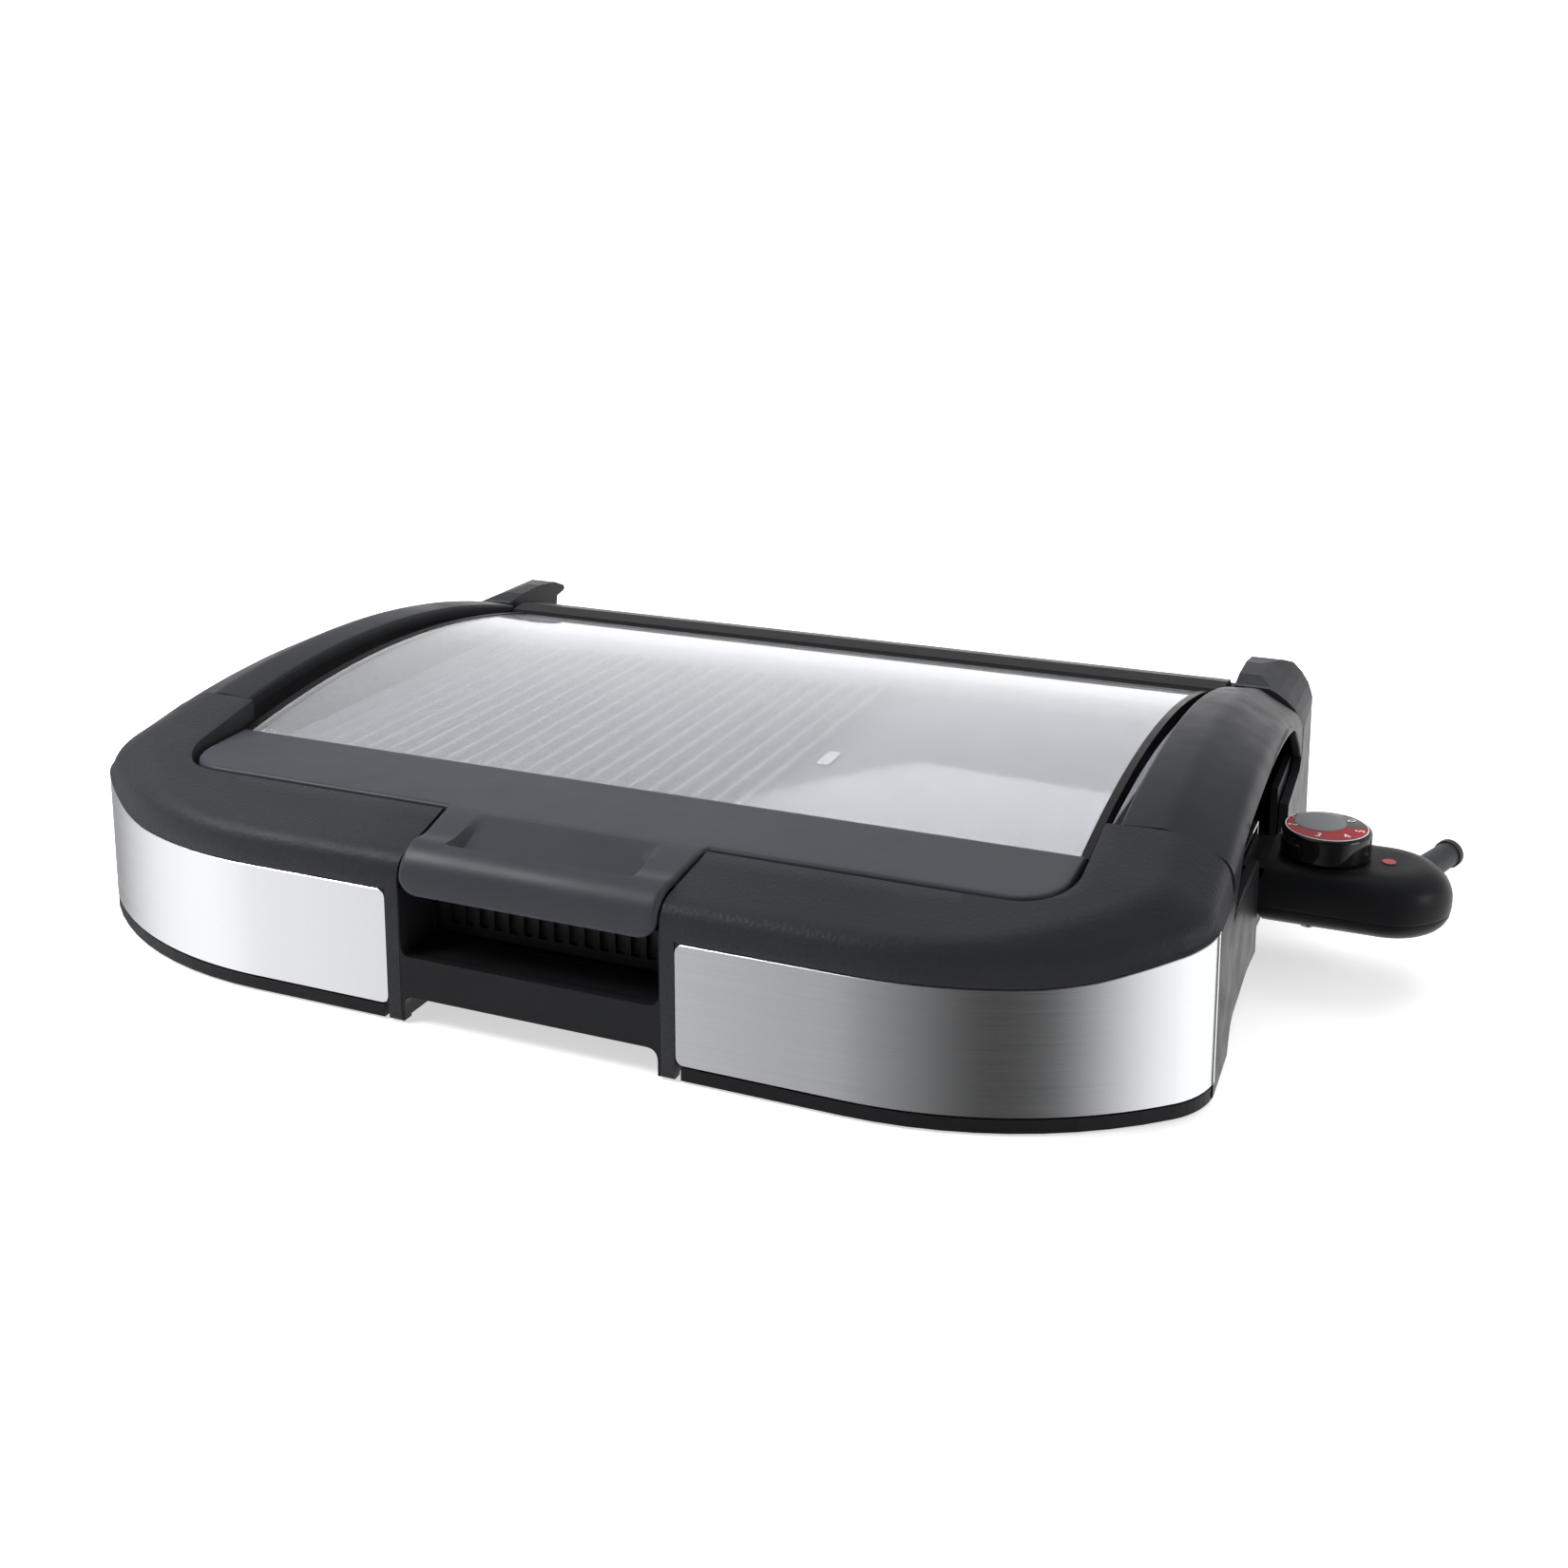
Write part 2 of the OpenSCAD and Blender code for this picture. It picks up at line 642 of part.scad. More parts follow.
module control_upper_shell() {
    color("#2c2e31") placed() difference() {
        union() {
            translate([0, 0, split_z + 0.05]) linear_extrude(case_z1 - 2.5 - split_z) case_plan(0);
            translate([0, 0, case_z1 - roof_t]) linear_extrude(roof_t) case_plan(3);
            translate([knob_x, control_y, case_z1 - roof_t]) cylinder(h = 5, r = 14);
        }
        difference() {
            translate([0, 0, split_z - 1]) linear_extrude(case_z1 - roof_t + 1 - split_z) case_plan(shell_t);
            for (p = case_screw_spots) translate([p[0], p[1], split_z - 2]) cylinder(h = 20, r = 3.2);
        }
        block(case_x0 - 1, case_x0 + 6, control_y - 20, control_y + 20, 20, case_z1 - roof_t);
        gland_place() cylinder(h = 40, r = 6.1, center = true);
        translate([knob_x, control_y, 30]) cylinder(h = 30, r = spindle_r + 0.05);
        translate([lamp_spot[0], lamp_spot[1], 30]) cylinder(h = 30, r = 2.85);
        for (p = case_screw_spots) translate([p[0], p[1], case_z0]) cylinder(h = 19, r = screw_r + 0.05);
    }
}

module sensing_probe() {
    color("#c4c6c8") placed() {
        rod_x(158, 252, control_y, contact_z, probe_r);
        translate([158, control_y, contact_z]) sphere(r = probe_r);
    }
}

module connector_block() {
    color("#151618") placed() difference() {
        union() {
            block(222, 250, control_y - 19, control_y + 19, 30, 42.7);
            block(247, 254, control_y - 19, control_y + 19, 25, 42.7);
        }
        rod_x(200, 260, control_y, contact_z, probe_r + 0.1);
        for (s = [-1, 1]) rod_x(200, 250, control_y + s * contact_pitch, contact_z, 3.4);
    }
}

module contact_tubes() {
    color("#c9a24a") placed() for (s = [-1, 1]) difference() {
        rod_x(224, 249, control_y + s * contact_pitch, contact_z, 3.3);
        rod_x(220, 247, control_y + s * contact_pitch, contact_z, blade_r + 0.15);
    }
}

module thermostat_switch() {
    color("#b08d57") placed() {
        block(256, 284, control_y - 14, control_y + 14, 22, 24);
        block(256, 262, control_y - 10, control_y + 10, 24, 33);
        block(258, 282, control_y - 3, control_y + 3, 33, 34);
        for (s = [-1, 1]) block(258, 280, control_y + s * 7.5 - 2.5, control_y + s * 7.5 + 2.5, 30, 31);
    }
}

module pilot_lens() {
    color("#d02020") placed() translate([lamp_spot[0], lamp_spot[1], 42]) {
        cylinder(h = 4.3, r = 2.8);
        cylinder(h = 0.9, r = 3.8);
    }
}

module pilot_lamp() {
    color("#e07030") placed() translate([lamp_spot[0], lamp_spot[1], 33]) {
        cylinder(h = 6, r = 2.2);
        translate([0, 0, 6]) sphere(r = 2.2);
    }
}

module cord_gland() {
    color("#5a5d62") placed() gland_place() difference() {
        union() {
            translate([0, 0, -11]) cylinder(h = gland_len + 9, r1 = 6, r2 = 5.2);
            translate([0, 0, gland_len - 3]) cylinder(h = 3, r = gland_collar_r);
            translate([0, 0, -12]) cylinder(h = 1.5, r = 7);
        }
        translate([0, 0, -13]) cylinder(h = 50, r = 3.6);
    }
}

module control_screws() {
    color("#a9abad") placed() for (p = case_screw_spots) translate([p[0], p[1], case_z0 - 0.8]) {
        cylinder(h = 0.8, r = 3);
        cylinder(h = 18, r = screw_r);
    }
}

/* Knob */

module knob_body() {
    color("#101113") placed() translate([knob_x, control_y, 0]) difference() {
        union() {
            translate([0, 0, knob_z0]) cylinder(h = 6.7, r = knob_r);
            translate([0, 0, 55]) cylinder(h = 1.9, r1 = knob_r, r2 = knob_r - 0.8);
        }
        translate([0, 0, knob_z0 - 1]) cylinder(h = 6, r = knob_r - 2);
        translate([0, 0, 40]) cylinder(h = 30, r = spindle_r);
    }
}

module dial_ring() {
    color("#a8141c") placed() translate([knob_x, control_y, 56.9]) difference() {
        cylinder(h = 0.7, r = 17.4);
        translate([cap_spot[0], cap_spot[1], -1]) cylinder(h = 3, r = 10.7);
    }
}

module knob_cap() {
    color("#8b8f95") placed() translate([knob_x + cap_spot[0], control_y + cap_spot[1], 56.9])
        cylinder(h = knob_top - 56.9, r = 10.4);
}

module knob_spindle() {
    color("#c4c6c8") placed() translate([knob_x, control_y, 36]) cylinder(h = 20.9, r = spindle_r);
}

base_housing();
front_housing();
left_band();
right_band();
left_handle();
right_handle();
left_rear_post();
right_rear_post();
rear_panel();
plate_well();
heat_reflector();
plate_supports();
grill_plate();
heating_element();
terminal_block();
terminal_pins();
socket_guard();
tray_shelf();
hinge_pins();
rubber_feet();
base_screws();
drip_tray();
lid_glass();
lid_front_frame();
lid_rear_rail();
left_lid_trim();
right_lid_trim();
lid_seal();
lid_screws();
control_upper_shell();
control_lower_shell();
sensing_probe();
connector_block();
contact_tubes();
thermostat_switch();
pilot_lens();
pilot_lamp();
cord_gland();
control_screws();
knob_body();
dial_ring();
knob_cap();
knob_spindle();
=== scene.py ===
"""Looks for the electric griddle: refined shells, glass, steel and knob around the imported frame."""
import json
import math

import bpy
import bmesh
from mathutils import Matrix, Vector


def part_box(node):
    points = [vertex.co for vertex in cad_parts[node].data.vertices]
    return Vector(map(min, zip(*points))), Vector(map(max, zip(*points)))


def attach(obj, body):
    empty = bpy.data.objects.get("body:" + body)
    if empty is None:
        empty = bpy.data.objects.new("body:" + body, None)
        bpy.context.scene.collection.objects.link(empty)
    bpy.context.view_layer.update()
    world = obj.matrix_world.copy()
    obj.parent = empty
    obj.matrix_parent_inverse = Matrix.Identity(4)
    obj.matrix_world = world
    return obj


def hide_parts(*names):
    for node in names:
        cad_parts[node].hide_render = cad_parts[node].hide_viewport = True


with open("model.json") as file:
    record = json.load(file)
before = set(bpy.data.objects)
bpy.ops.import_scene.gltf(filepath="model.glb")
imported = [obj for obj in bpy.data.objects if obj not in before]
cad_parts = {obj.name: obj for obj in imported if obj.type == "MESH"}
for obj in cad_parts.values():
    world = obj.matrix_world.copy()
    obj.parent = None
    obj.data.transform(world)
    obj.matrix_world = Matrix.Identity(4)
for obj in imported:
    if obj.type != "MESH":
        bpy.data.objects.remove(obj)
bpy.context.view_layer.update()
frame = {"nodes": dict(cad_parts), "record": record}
nodes = frame["nodes"]

# ---------------------------------------------------------------- places, in millimetres
# Pieces are written about the body's mid plane (x = 0), with y measured back from a work
# origin 180 mm behind the front face, and z up from the table. place() turns that into the frame.
MM = 0.001
FRONT = 180
glass_lo, glass_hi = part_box("lid_glass")
front_lo, front_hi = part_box("front_housing")
ORIGIN = Vector(((glass_lo.x + glass_hi.x) / 2, front_lo.y + FRONT * MM, 0))

# the plan: a straight front, a wide bow, a tight corner, then sides that close in to the rear
BOW_X, BOW_R, BOW_SWEEP = 126.5, 160, 43
CORNER_R = 32
CORNER_X = BOW_X + (BOW_R - CORNER_R) * math.sin(math.radians(BOW_SWEEP))
CORNER_Y = BOW_R - FRONT - (BOW_R - CORNER_R) * math.cos(math.radians(BOW_SWEEP))
HALF_W = CORNER_X + CORNER_R
REAR_Y, REAR_HALF, REAR_R = 204, 238, 16
SIDE_NORMAL = 1.3
SEAM_Y = -84
HANDLE_REAR_Y = 150
HANDLE_CROWN, HANDLE_ARCH_R, HANDLE_CROWN_Y = 95, 500, 8
BAND_END_Y = -118
BAND_GAP = 0.4
POST_HALF = 62
WINDOW_HALF = 56
CONTROL_X, CONTROL_Y = 265.6, 21


def place(x, y, z):
    return ORIGIN + Vector((x * MM, y * MM, z * MM))


def handle_height(y):
    """Top of the arched side handles."""
    rise = math.sqrt(HANDLE_ARCH_R ** 2 - (y - HANDLE_CROWN_Y) ** 2)
    return HANDLE_CROWN - HANDLE_ARCH_R + rise


def lerp(a, b, t):
    return a + (b - a) * t


def along(table, x):
    """Straight lines through (x, value) pairs, held flat beyond the ends."""
    if x <= table[0][0]:
        return table[0][1]
    for (x0, v0), (x1, v1) in zip(table, table[1:]):
        if x <= x1:
            return lerp(v0, v1, (x - x0) / (x1 - x0))
    return table[-1][1]


def fillet(points, radii, steps=4):
    """A run of 2D points with its corners rounded; a radius of 0 keeps the corner."""
    out = []
    count = len(points)
    for i, (p, r) in enumerate(zip(points, radii)):
        p = Vector(p)
        if r <= 0:
            out.append(p)
            continue
        a = Vector(points[i - 1]) - p
        b = Vector(points[(i + 1) % count]) - p
        reach = min(r, a.length * 0.45, b.length * 0.45)
        start = p + a.normalized() * reach
        end = p + b.normalized() * reach
        for k in range(steps + 1):
            t = k / steps
            out.append(start * (1 - t) ** 2 + p * 2 * t * (1 - t) + end * t ** 2)
    return [(v.x, v.y) for v in out]


# ---------------------------------------------------------------- mesh helpers

def mesh_piece(name, verts, faces, body, mat, smooth_angle=35):
    """A piece from points in millimetres, riding on its body, smooth below the given angle."""
    data = bpy.data.meshes.new(name)
    data.from_pydata([place(*v) for v in verts], [], faces)
    bm = bmesh.new()
    bm.from_mesh(data)
    bmesh.ops.remove_doubles(bm, verts=bm.verts, dist=0.00001)
    bmesh.ops.recalc_face_normals(bm, faces=bm.faces)
    bm.to_mesh(data)
    bm.free()
    data.shade_smooth()
    data.set_sharp_from_angle(angle=math.radians(smooth_angle))
    obj = bpy.data.objects.new(name, data)
    bpy.context.scene.collection.objects.link(obj)
    obj.data.materials.append(mat)
    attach(obj, body)
    return obj


def bevel(obj, width, segments=3, angle=30):
    mod = obj.modifiers.new("edge", "BEVEL")
    mod.width = width * MM
    mod.segments = segments
    mod.limit_method = "ANGLE"
    mod.angle_limit = math.radians(angle)
    mod.harden_normals = True
    return obj


def grid(rows, closed=False):
    """Vertices and faces of a sheet through rows of points; a closed row joins its two ends."""
    verts = [p for row in rows for p in row]
    width = len(rows[0])
    faces = []
    for i in range(len(rows) - 1):
        for j in range(width if closed else width - 1):
            a = i * width
            b = (i + 1) * width
            k = (j + 1) % width
            faces.append((a + j, a + k, b + k, b + j))
    return verts, faces


def loft(name, sections, body, mat, smooth_angle=35):
    """A solid skinned through closed sections, with flat ends."""
    verts, faces = grid(sections, closed=True)
    width = len(sections[0])
    faces.append(tuple(range(width)))
    faces.append(tuple(range(len(verts) - width, len(verts))))
    return mesh_piece(name, verts, faces, body, mat, smooth_angle)


def mirror_x(points):
    return [(-x, y, z) for x, y, z in points]


# ---------------------------------------------------------------- outline of the body

def arc(cx, cy, r, a0, a1, n):
    """(x, y, outward normal angle) along an arc, in degrees."""
    return [(cx + r * math.cos(math.radians(lerp(a0, a1, i / n))),
             cy + r * math.sin(math.radians(lerp(a0, a1, i / n))),
             lerp(a0, a1, i / n)) for i in range(n + 1)]


def side_x(y):
    """Half width of the body behind its front corners."""
    rear_y = REAR_Y - REAR_R
    return lerp(HALF_W, REAR_HALF, (y - CORNER_Y) / (rear_y - CORNER_Y))


def outline_stations(start_x, end_y):
    """(x, y, outward normal angle) along the right half, from the front to end_y on the side."""
    post_edge = (POST_HALF - 0.05, POST_HALF + 0.15)
    out = [(start_x, -FRONT, -90.0)]
    out += [(x, -FRONT, -90.0) for x in post_edge if x > start_x]
    out += [(lerp(out[-1][0], BOW_X, i / 7), -FRONT, -90.0) for i in range(1, 7)]
    out += arc(BOW_X, BOW_R - FRONT, BOW_R, -90, BOW_SWEEP - 90, 24)
    out += arc(CORNER_X, CORNER_Y, CORNER_R, BOW_SWEEP - 90, 0, 14)[1:]
    count = max(2, int(abs(end_y - CORNER_Y) / 6))
    for i in range(1, count + 1):
        y = lerp(CORNER_Y, end_y, i / count)
        out.append((side_x(y), y, SIDE_NORMAL))
    return out


# ---------------------------------------------------------------- materials

class Look:
    """One procedural material, with short calls for the nodes it is made of."""

    def __init__(self, name, rough, metal=0.0, coat=0.0):
        self.mat = bpy.data.materials.new(name)
        self.mat.use_nodes = True
        self.tree = self.mat.node_tree
        self.shader = self.tree.nodes["Principled BSDF"]
        self.shader.inputs["Roughness"].default_value = rough
        self.shader.inputs["Metallic"].default_value = metal
        self.shader.inputs["Coat Weight"].default_value = coat
        self.coords = self.tree.nodes.new("ShaderNodeTexCoord").outputs["Object"]

    def link(self, a, b):
        self.tree.links.new(a, b)

    def mapped(self, scale):
        node = self.tree.nodes.new("ShaderNodeMapping")
        node.inputs["Scale"].default_value = scale
        self.link(self.coords, node.inputs["Vector"])
        return node.outputs["Vector"]

    def noise(self, scale, detail=2.0, vector=None, rough=0.5):
        node = self.tree.nodes.new("ShaderNodeTexNoise")
        node.inputs["Scale"].default_value = scale
        node.inputs["Detail"].default_value = detail
        node.inputs["Roughness"].default_value = rough
        self.link(vector or self.coords, node.inputs["Vector"])
        return node.outputs["Fac"]

    def cells(self, scale):
        node = self.tree.nodes.new("ShaderNodeTexVoronoi")
        node.feature = "SMOOTH_F1"
        node.inputs["Scale"].default_value = scale
        self.link(self.coords, node.inputs["Vector"])
        return node.outputs["Distance"]

    def ramp(self, value, low, high, start=0.3, end=0.7):
        """Maps a value to a range of numbers or colours."""
        if isinstance(low, (int, float)):
            node = self.tree.nodes.new("ShaderNodeMapRange")
            node.inputs["From Min"].default_value = start
            node.inputs["From Max"].default_value = end
            node.inputs["To Min"].default_value = low
            node.inputs["To Max"].default_value = high
            self.link(value, node.inputs["Value"])
            return node.outputs["Result"]
        node = self.tree.nodes.new("ShaderNodeValToRGB")
        node.color_ramp.elements[0].position = start
        node.color_ramp.elements[1].position = end
        node.color_ramp.elements[0].color = (*low, 1)
        node.color_ramp.elements[1].color = (*high, 1)
        self.link(value, node.inputs["Fac"])
        return node.outputs["Color"]

    def add(self, a, b, weight=1.0):
        node = self.tree.nodes.new("ShaderNodeMath")
        node.operation = "MULTIPLY_ADD"
        self.link(b, node.inputs[0])
        node.inputs[1].default_value = weight
        self.link(a, node.inputs[2])
        return node.outputs[0]

    def bump(self, height, distance, strength=1.0):
        node = self.tree.nodes.new("ShaderNodeBump")
        node.inputs["Distance"].default_value = distance * MM
        node.inputs["Strength"].default_value = strength
        self.link(height, node.inputs["Height"])
        self.link(node.outputs["Normal"], self.shader.inputs["Normal"])

    def colour(self, low, high, scale=18.0):
        """Slow mottling between two close tones."""
        self.link(self.ramp(self.noise(scale, 3.0), low, high), self.shader.inputs["Base Color"])

    def roughness(self, low, high, scale=60.0):
        self.link(self.ramp(self.noise(scale, 3.0), low, high), self.shader.inputs["Roughness"])


def tone(r, g, b, change=0.12):
    """A darker and a lighter tone about a colour."""
    return (r * (1 - change), g * (1 - change), b * (1 - change)), \
        (r * (1 + change), g * (1 + change), b * (1 + change))


def grained(name, rgb, rough=0.5, depth=0.12, cell=520.0):
    """Moulded plastic with a fine leather grain."""
    look = Look(name, rough)
    look.shader.inputs["Specular IOR Level"].default_value = 0.11
    look.colour(*tone(*rgb))
    look.roughness(rough - 0.05, rough + 0.06)
    grain = look.add(look.cells(cell), look.noise(cell * 2.4, 3.0), 0.5)
    look.bump(grain, depth, 0.8)
    return look.mat


def satin(name, rgb, rough=0.42, depth=0.02):
    """Smooth moulded plastic with a very fine spark-eroded texture."""
    look = Look(name, rough)
    look.shader.inputs["Specular IOR Level"].default_value = 0.18
    look.colour(*tone(*rgb, 0.06))
    look.roughness(rough - 0.03, rough + 0.04)
    look.bump(look.noise(1800.0, 2.0), depth, 0.5)
    return look.mat


def brushed(name, rgb, rough, stretch, depth=0.01):
    """Steel with fine straight brushing; stretch is the scale of the lines along each axis."""
    look = Look(name, rough, metal=1.0)
    lines = look.noise(1.0, 4.0, look.mapped(stretch), 0.7)
    look.link(look.ramp(lines, *tone(*rgb, 0.035)), look.shader.inputs["Base Color"])
    look.link(look.ramp(lines, rough - 0.05, rough + 0.05), look.shader.inputs["Roughness"])
    look.bump(lines, depth, 0.7)
    return look.mat


def cast(name, rgb, rough):
    """Cast aluminium under a speckled non-stick coating."""
    look = Look(name, rough, metal=0.0)
    look.shader.inputs["Specular IOR Level"].default_value = 0.14
    speckle = look.ramp(look.noise(2600.0, 1.0), *tone(*rgb, 0.25), 0.45, 0.68)
    look.link(speckle, look.shader.inputs["Base Color"])
    look.roughness(rough - 0.06, rough + 0.08)
    look.bump(look.noise(1500.0, 2.0), 0.003, 0.3)
    return look.mat


def gloss(name, rgb, rough=0.08):
    """Polished plastic under a thin lacquer."""
    look = Look(name, rough, coat=0.15)
    look.shader.inputs["Specular IOR Level"].default_value = 0.35
    look.colour(*tone(*rgb, 0.08), 30.0)
    look.roughness(rough * 0.6, rough * 1.6, 140.0)
    look.bump(look.noise(160.0, 1.0), 0.004, 0.3)
    return look.mat


def glass(name, tint, rough=0.03, painted_reflection_haze=0.09):
    """Tinted glass that lets lamps through to what it covers, with a slight whitish haze that is painted
    reflection brightening it.
    """
    look = Look(name, rough)
    # the haze share taken from transmission is whitish diffuse glass: painted reflection in place of real
    # sheen
    look.shader.inputs["Transmission Weight"].default_value = 1 - painted_reflection_haze
    look.shader.inputs["IOR"].default_value = 1.5
    look.colour(*tone(*tint, 0.02), 4.0)
    look.roughness(rough * 0.6, rough * 1.6, 25.0)
    clear = look.tree.nodes.new("ShaderNodeBsdfTransparent")
    clear.inputs["Color"].default_value = (*tint, 1)
    path = look.tree.nodes.new("ShaderNodeLightPath")
    mix = look.tree.nodes.new("ShaderNodeMixShader")
    look.link(path.outputs["Is Shadow Ray"], mix.inputs["Fac"])
    look.link(look.shader.outputs["BSDF"], mix.inputs[1])
    look.link(clear.outputs["BSDF"], mix.inputs[2])
    look.link(mix.outputs["Shader"], look.tree.nodes["Material Output"].inputs["Surface"])
    return look.mat


COVER = grained("cover_plastic", (0.023, 0.024, 0.028), 0.42, 0.16, 700.0)
HANDLE = grained("handle_plastic", (0.020, 0.021, 0.025), 0.36, 0.02, 1000.0)
PANEL = grained("panel_plastic", (0.013, 0.0135, 0.015), 0.42, 0.02, 1100.0)
LID = satin("lid_plastic", (0.036, 0.038, 0.046), 0.38)
BLACK = satin("black_plastic", (0.008, 0.008, 0.009), 0.33)
CASE = grained("control_plastic", (0.011, 0.0115, 0.013), 0.36, 0.01, 1400.0)
GLAND = satin("gland_plastic", (0.035, 0.038, 0.043), 0.48)
BAND = brushed("brushed_band", (0.80, 0.81, 0.83), 0.30, (16, 16, 7000), 0.003)
STEEL = brushed("bright_steel", (0.78, 0.78, 0.79), 0.24, (500, 12, 500))
DARK_STEEL = brushed("element_steel", (0.18, 0.18, 0.19), 0.42, (20, 500, 500))
ENAMEL = satin("black_enamel", (0.014, 0.014, 0.015), 0.30)
SCREW = brushed("screw_steel", (0.45, 0.46, 0.47), 0.33, (900, 900, 30))
PLATE = cast("coated_plate", (0.13, 0.13, 0.138), 0.42)
CERAMIC = satin("ceramic_white", (0.62, 0.59, 0.53), 0.7, 0.05)
RUBBER = satin("black_rubber", (0.012, 0.012, 0.012), 0.75, 0.05)
BRASS = brushed("contact_brass", (0.52, 0.38, 0.17), 0.3, (600, 20, 600))
KNOB = gloss("knob_black", (0.007, 0.007, 0.008))
RED = satin("dial_red", (0.27, 0.002, 0.007), 0.34, 0.004)
LENS = gloss("lens_red", (0.50, 0.03, 0.04), 0.12)
CAP = satin("cap_grey", (0.165, 0.175, 0.190), 0.40)
WHITE = satin("numeral_white", (0.78, 0.78, 0.78), 0.5)
GLASS = glass("lid_glass", (0.80, 0.81, 0.84))

SLOT_LOOKS = {
    "housing_plastic": PANEL, "handle_plastic": HANDLE, "brushed_band": BAND, "black_steel": ENAMEL,
    "bright_steel": STEEL, "ceramic_white": CERAMIC, "coated_plate": PLATE, "element_steel": DARK_STEEL,
    "foot_rubber": RUBBER, "screw_steel": SCREW, "tray_plastic": ENAMEL, "lid_glass": GLASS,
    "lid_plastic": LID, "black_plastic": BLACK, "seal_rubber": RUBBER, "control_plastic": CASE,
    "contact_brass": BRASS, "lens_red": LENS, "gland_plastic": GLAND, "knob_gloss": KNOB,
    "dial_red": RED, "cap_grey": CAP,
}
CAD_SMOOTH_ANGLE = 28
slot_of = {entry["node"]: entry["material_slot"] for entry in frame["record"]["subparts"]}
for node_name, obj in nodes.items():
    obj.data.materials.clear()
    obj.data.materials.append(SLOT_LOOKS[slot_of[node_name]])
    obj.data.shade_smooth()
    obj.data.set_sharp_from_angle(angle=math.radians(CAD_SMOOTH_ANGLE))

# ---------------------------------------------------------------- front cover

COVER_Z, COVER_SLOPE, COVER_Y = 69.2, 0.21, -170.5
COVER_FLOOR = 66.6
RECESS_HALF, RECESS_Y, RECESS_R = 196.5, -142.5, 22
NOTCH_HALF = 58.5
RECESS_RUN = RECESS_HALF - RECESS_R - NOTCH_HALF
RECESS_SIDE = 36.2


def cover_height(y):
    """Top of the front cover, which climbs evenly towards the handles."""
    return COVER_Z + COVER_SLOPE * (y - COVER_Y)


def band_top(y):
    """Upper edge of the steel bands: level along the front, then rising round the corner."""
    return along([(-178, 54), (-165, 54.2), (-156, 55.8), (-148, 58.3), (-138, 61), (-130, 62.3),
                  (BAND_END_Y, 63.5)], y)


# (distance inward, drop below the cover) across the cover's rolled edge, at the front and side
FRONT_ROLL = fillet([(0, 20), (0, 0), (42, 0)], [0, 13, 0], 13)
SIDE_ROLL = fillet([(0, 20), (2.6, 9.6), (20.5, 0), (42, 0.5)], [0, 6, 6, 0], 6)


def recess_edge(length):
    """Point on the edge of the lid recess, by its distance from the handle tab's notch."""
    centre_x, centre_y = RECESS_HALF - RECESS_R, RECESS_Y + RECESS_R
    if length <= RECESS_RUN:
        return NOTCH_HALF + length, RECESS_Y
    turn = math.degrees((length - RECESS_RUN) / RECESS_R)
    if turn <= 90:
        a = math.radians(turn - 90)
        return centre_x + RECESS_R * math.cos(a), centre_y + RECESS_R * math.sin(a)
    return RECESS_HALF, centre_y + length - RECESS_RUN - RECESS_R * math.pi / 2


def smooth(t):
    """An even start and end between 0 and 1."""
    t = min(1.0, max(0.0, t))
    return t * t * (3 - 2 * t)


def cover_sections():
    """Sections of the right cover, each from the body's outline inward to the lid recess."""
    stations = outline_stations(WINDOW_HALF + 0.3, SEAM_Y - 0.6)
    sections = []
    travelled = 0.0
    last = stations[0]
    total_recess = RECESS_RUN + RECESS_R * math.pi / 2 + RECESS_SIDE
    # distance travelled along the outline, and along the recess's edge at the same section
    pairs = [(0, 0), (70, 68), (190, 138), (216, 155), (247.5, total_recess)]
    roll = list(zip(FRONT_ROLL, SIDE_ROLL))[1:-1]
    for x, y, angle in stations:
        travelled += math.hypot(x - last[0], y - last[1])
        last = (x, y)
        inward = (-math.cos(math.radians(angle)), -math.sin(math.radians(angle)))
        side = smooth((travelled - 95) / 135)
        qx, qy = recess_edge(along(pairs, travelled))
        foot = band_top(y) + 0.5 if x > POST_HALF + 0.1 else 1.0
        ring = [(x + inward[0] * 4, y + inward[1] * 4, foot),
                (x + inward[0] * 0.4, y + inward[1] * 0.4, foot), (x, y, foot + 0.5)]
        for (front_d, front_drop), (side_d, side_drop) in roll:
            d = lerp(front_d, side_d, side)
            px, py = x + inward[0] * d, y + inward[1] * d
            ring.append((px, py, cover_height(py) - lerp(front_drop, side_drop, side)))
        start = ring[-1]
        for t in (0.35, 0.7):
            px, py = lerp(start[0], qx, t), lerp(start[1], qy, t)
            ring.append((px, py, cover_height(py)))
        away = Vector((start[0] - qx, start[1] - qy)).normalized()
        top = cover_height(qy)
        ring += [(qx + away.x * 0.9, qy + away.y * 0.9, top),
                 (qx + away.x * 0.25, qy + away.y * 0.25, top - 0.25), (qx, qy, top - 0.9),
                 (qx, qy, COVER_FLOOR), (qx + away.x * 3, qy + away.y * 3, COVER_FLOOR)]
        sections.append(ring)
    return sections


cover_rings = cover_sections()
right_cover = loft("right_cover", cover_rings, "base", COVER, 40)
left_cover = loft("left_cover", [mirror_x(s) for s in cover_rings], "base", COVER, 40)

# ---------------------------------------------------------------- front panel, window and side panels

def prism(name, points, y0, y1, body, mat, edge=0.8, axis="y"):
    """A flat plate: an outline in the plane across the axis, between two places along it."""
    if axis == "y":
        ends = [[(a, d, b) for a, b in points] for d in (y0, y1)]
    elif axis == "x":
        ends = [[(d, a, b) for a, b in points] for d in (y0, y1)]
    else:
        ends = [[(a, b, d) for a, b in points] for d in (y0, y1)]
    obj = loft(name, ends, body, mat, 30)
    if edge:
        bevel(obj, edge)
    return obj


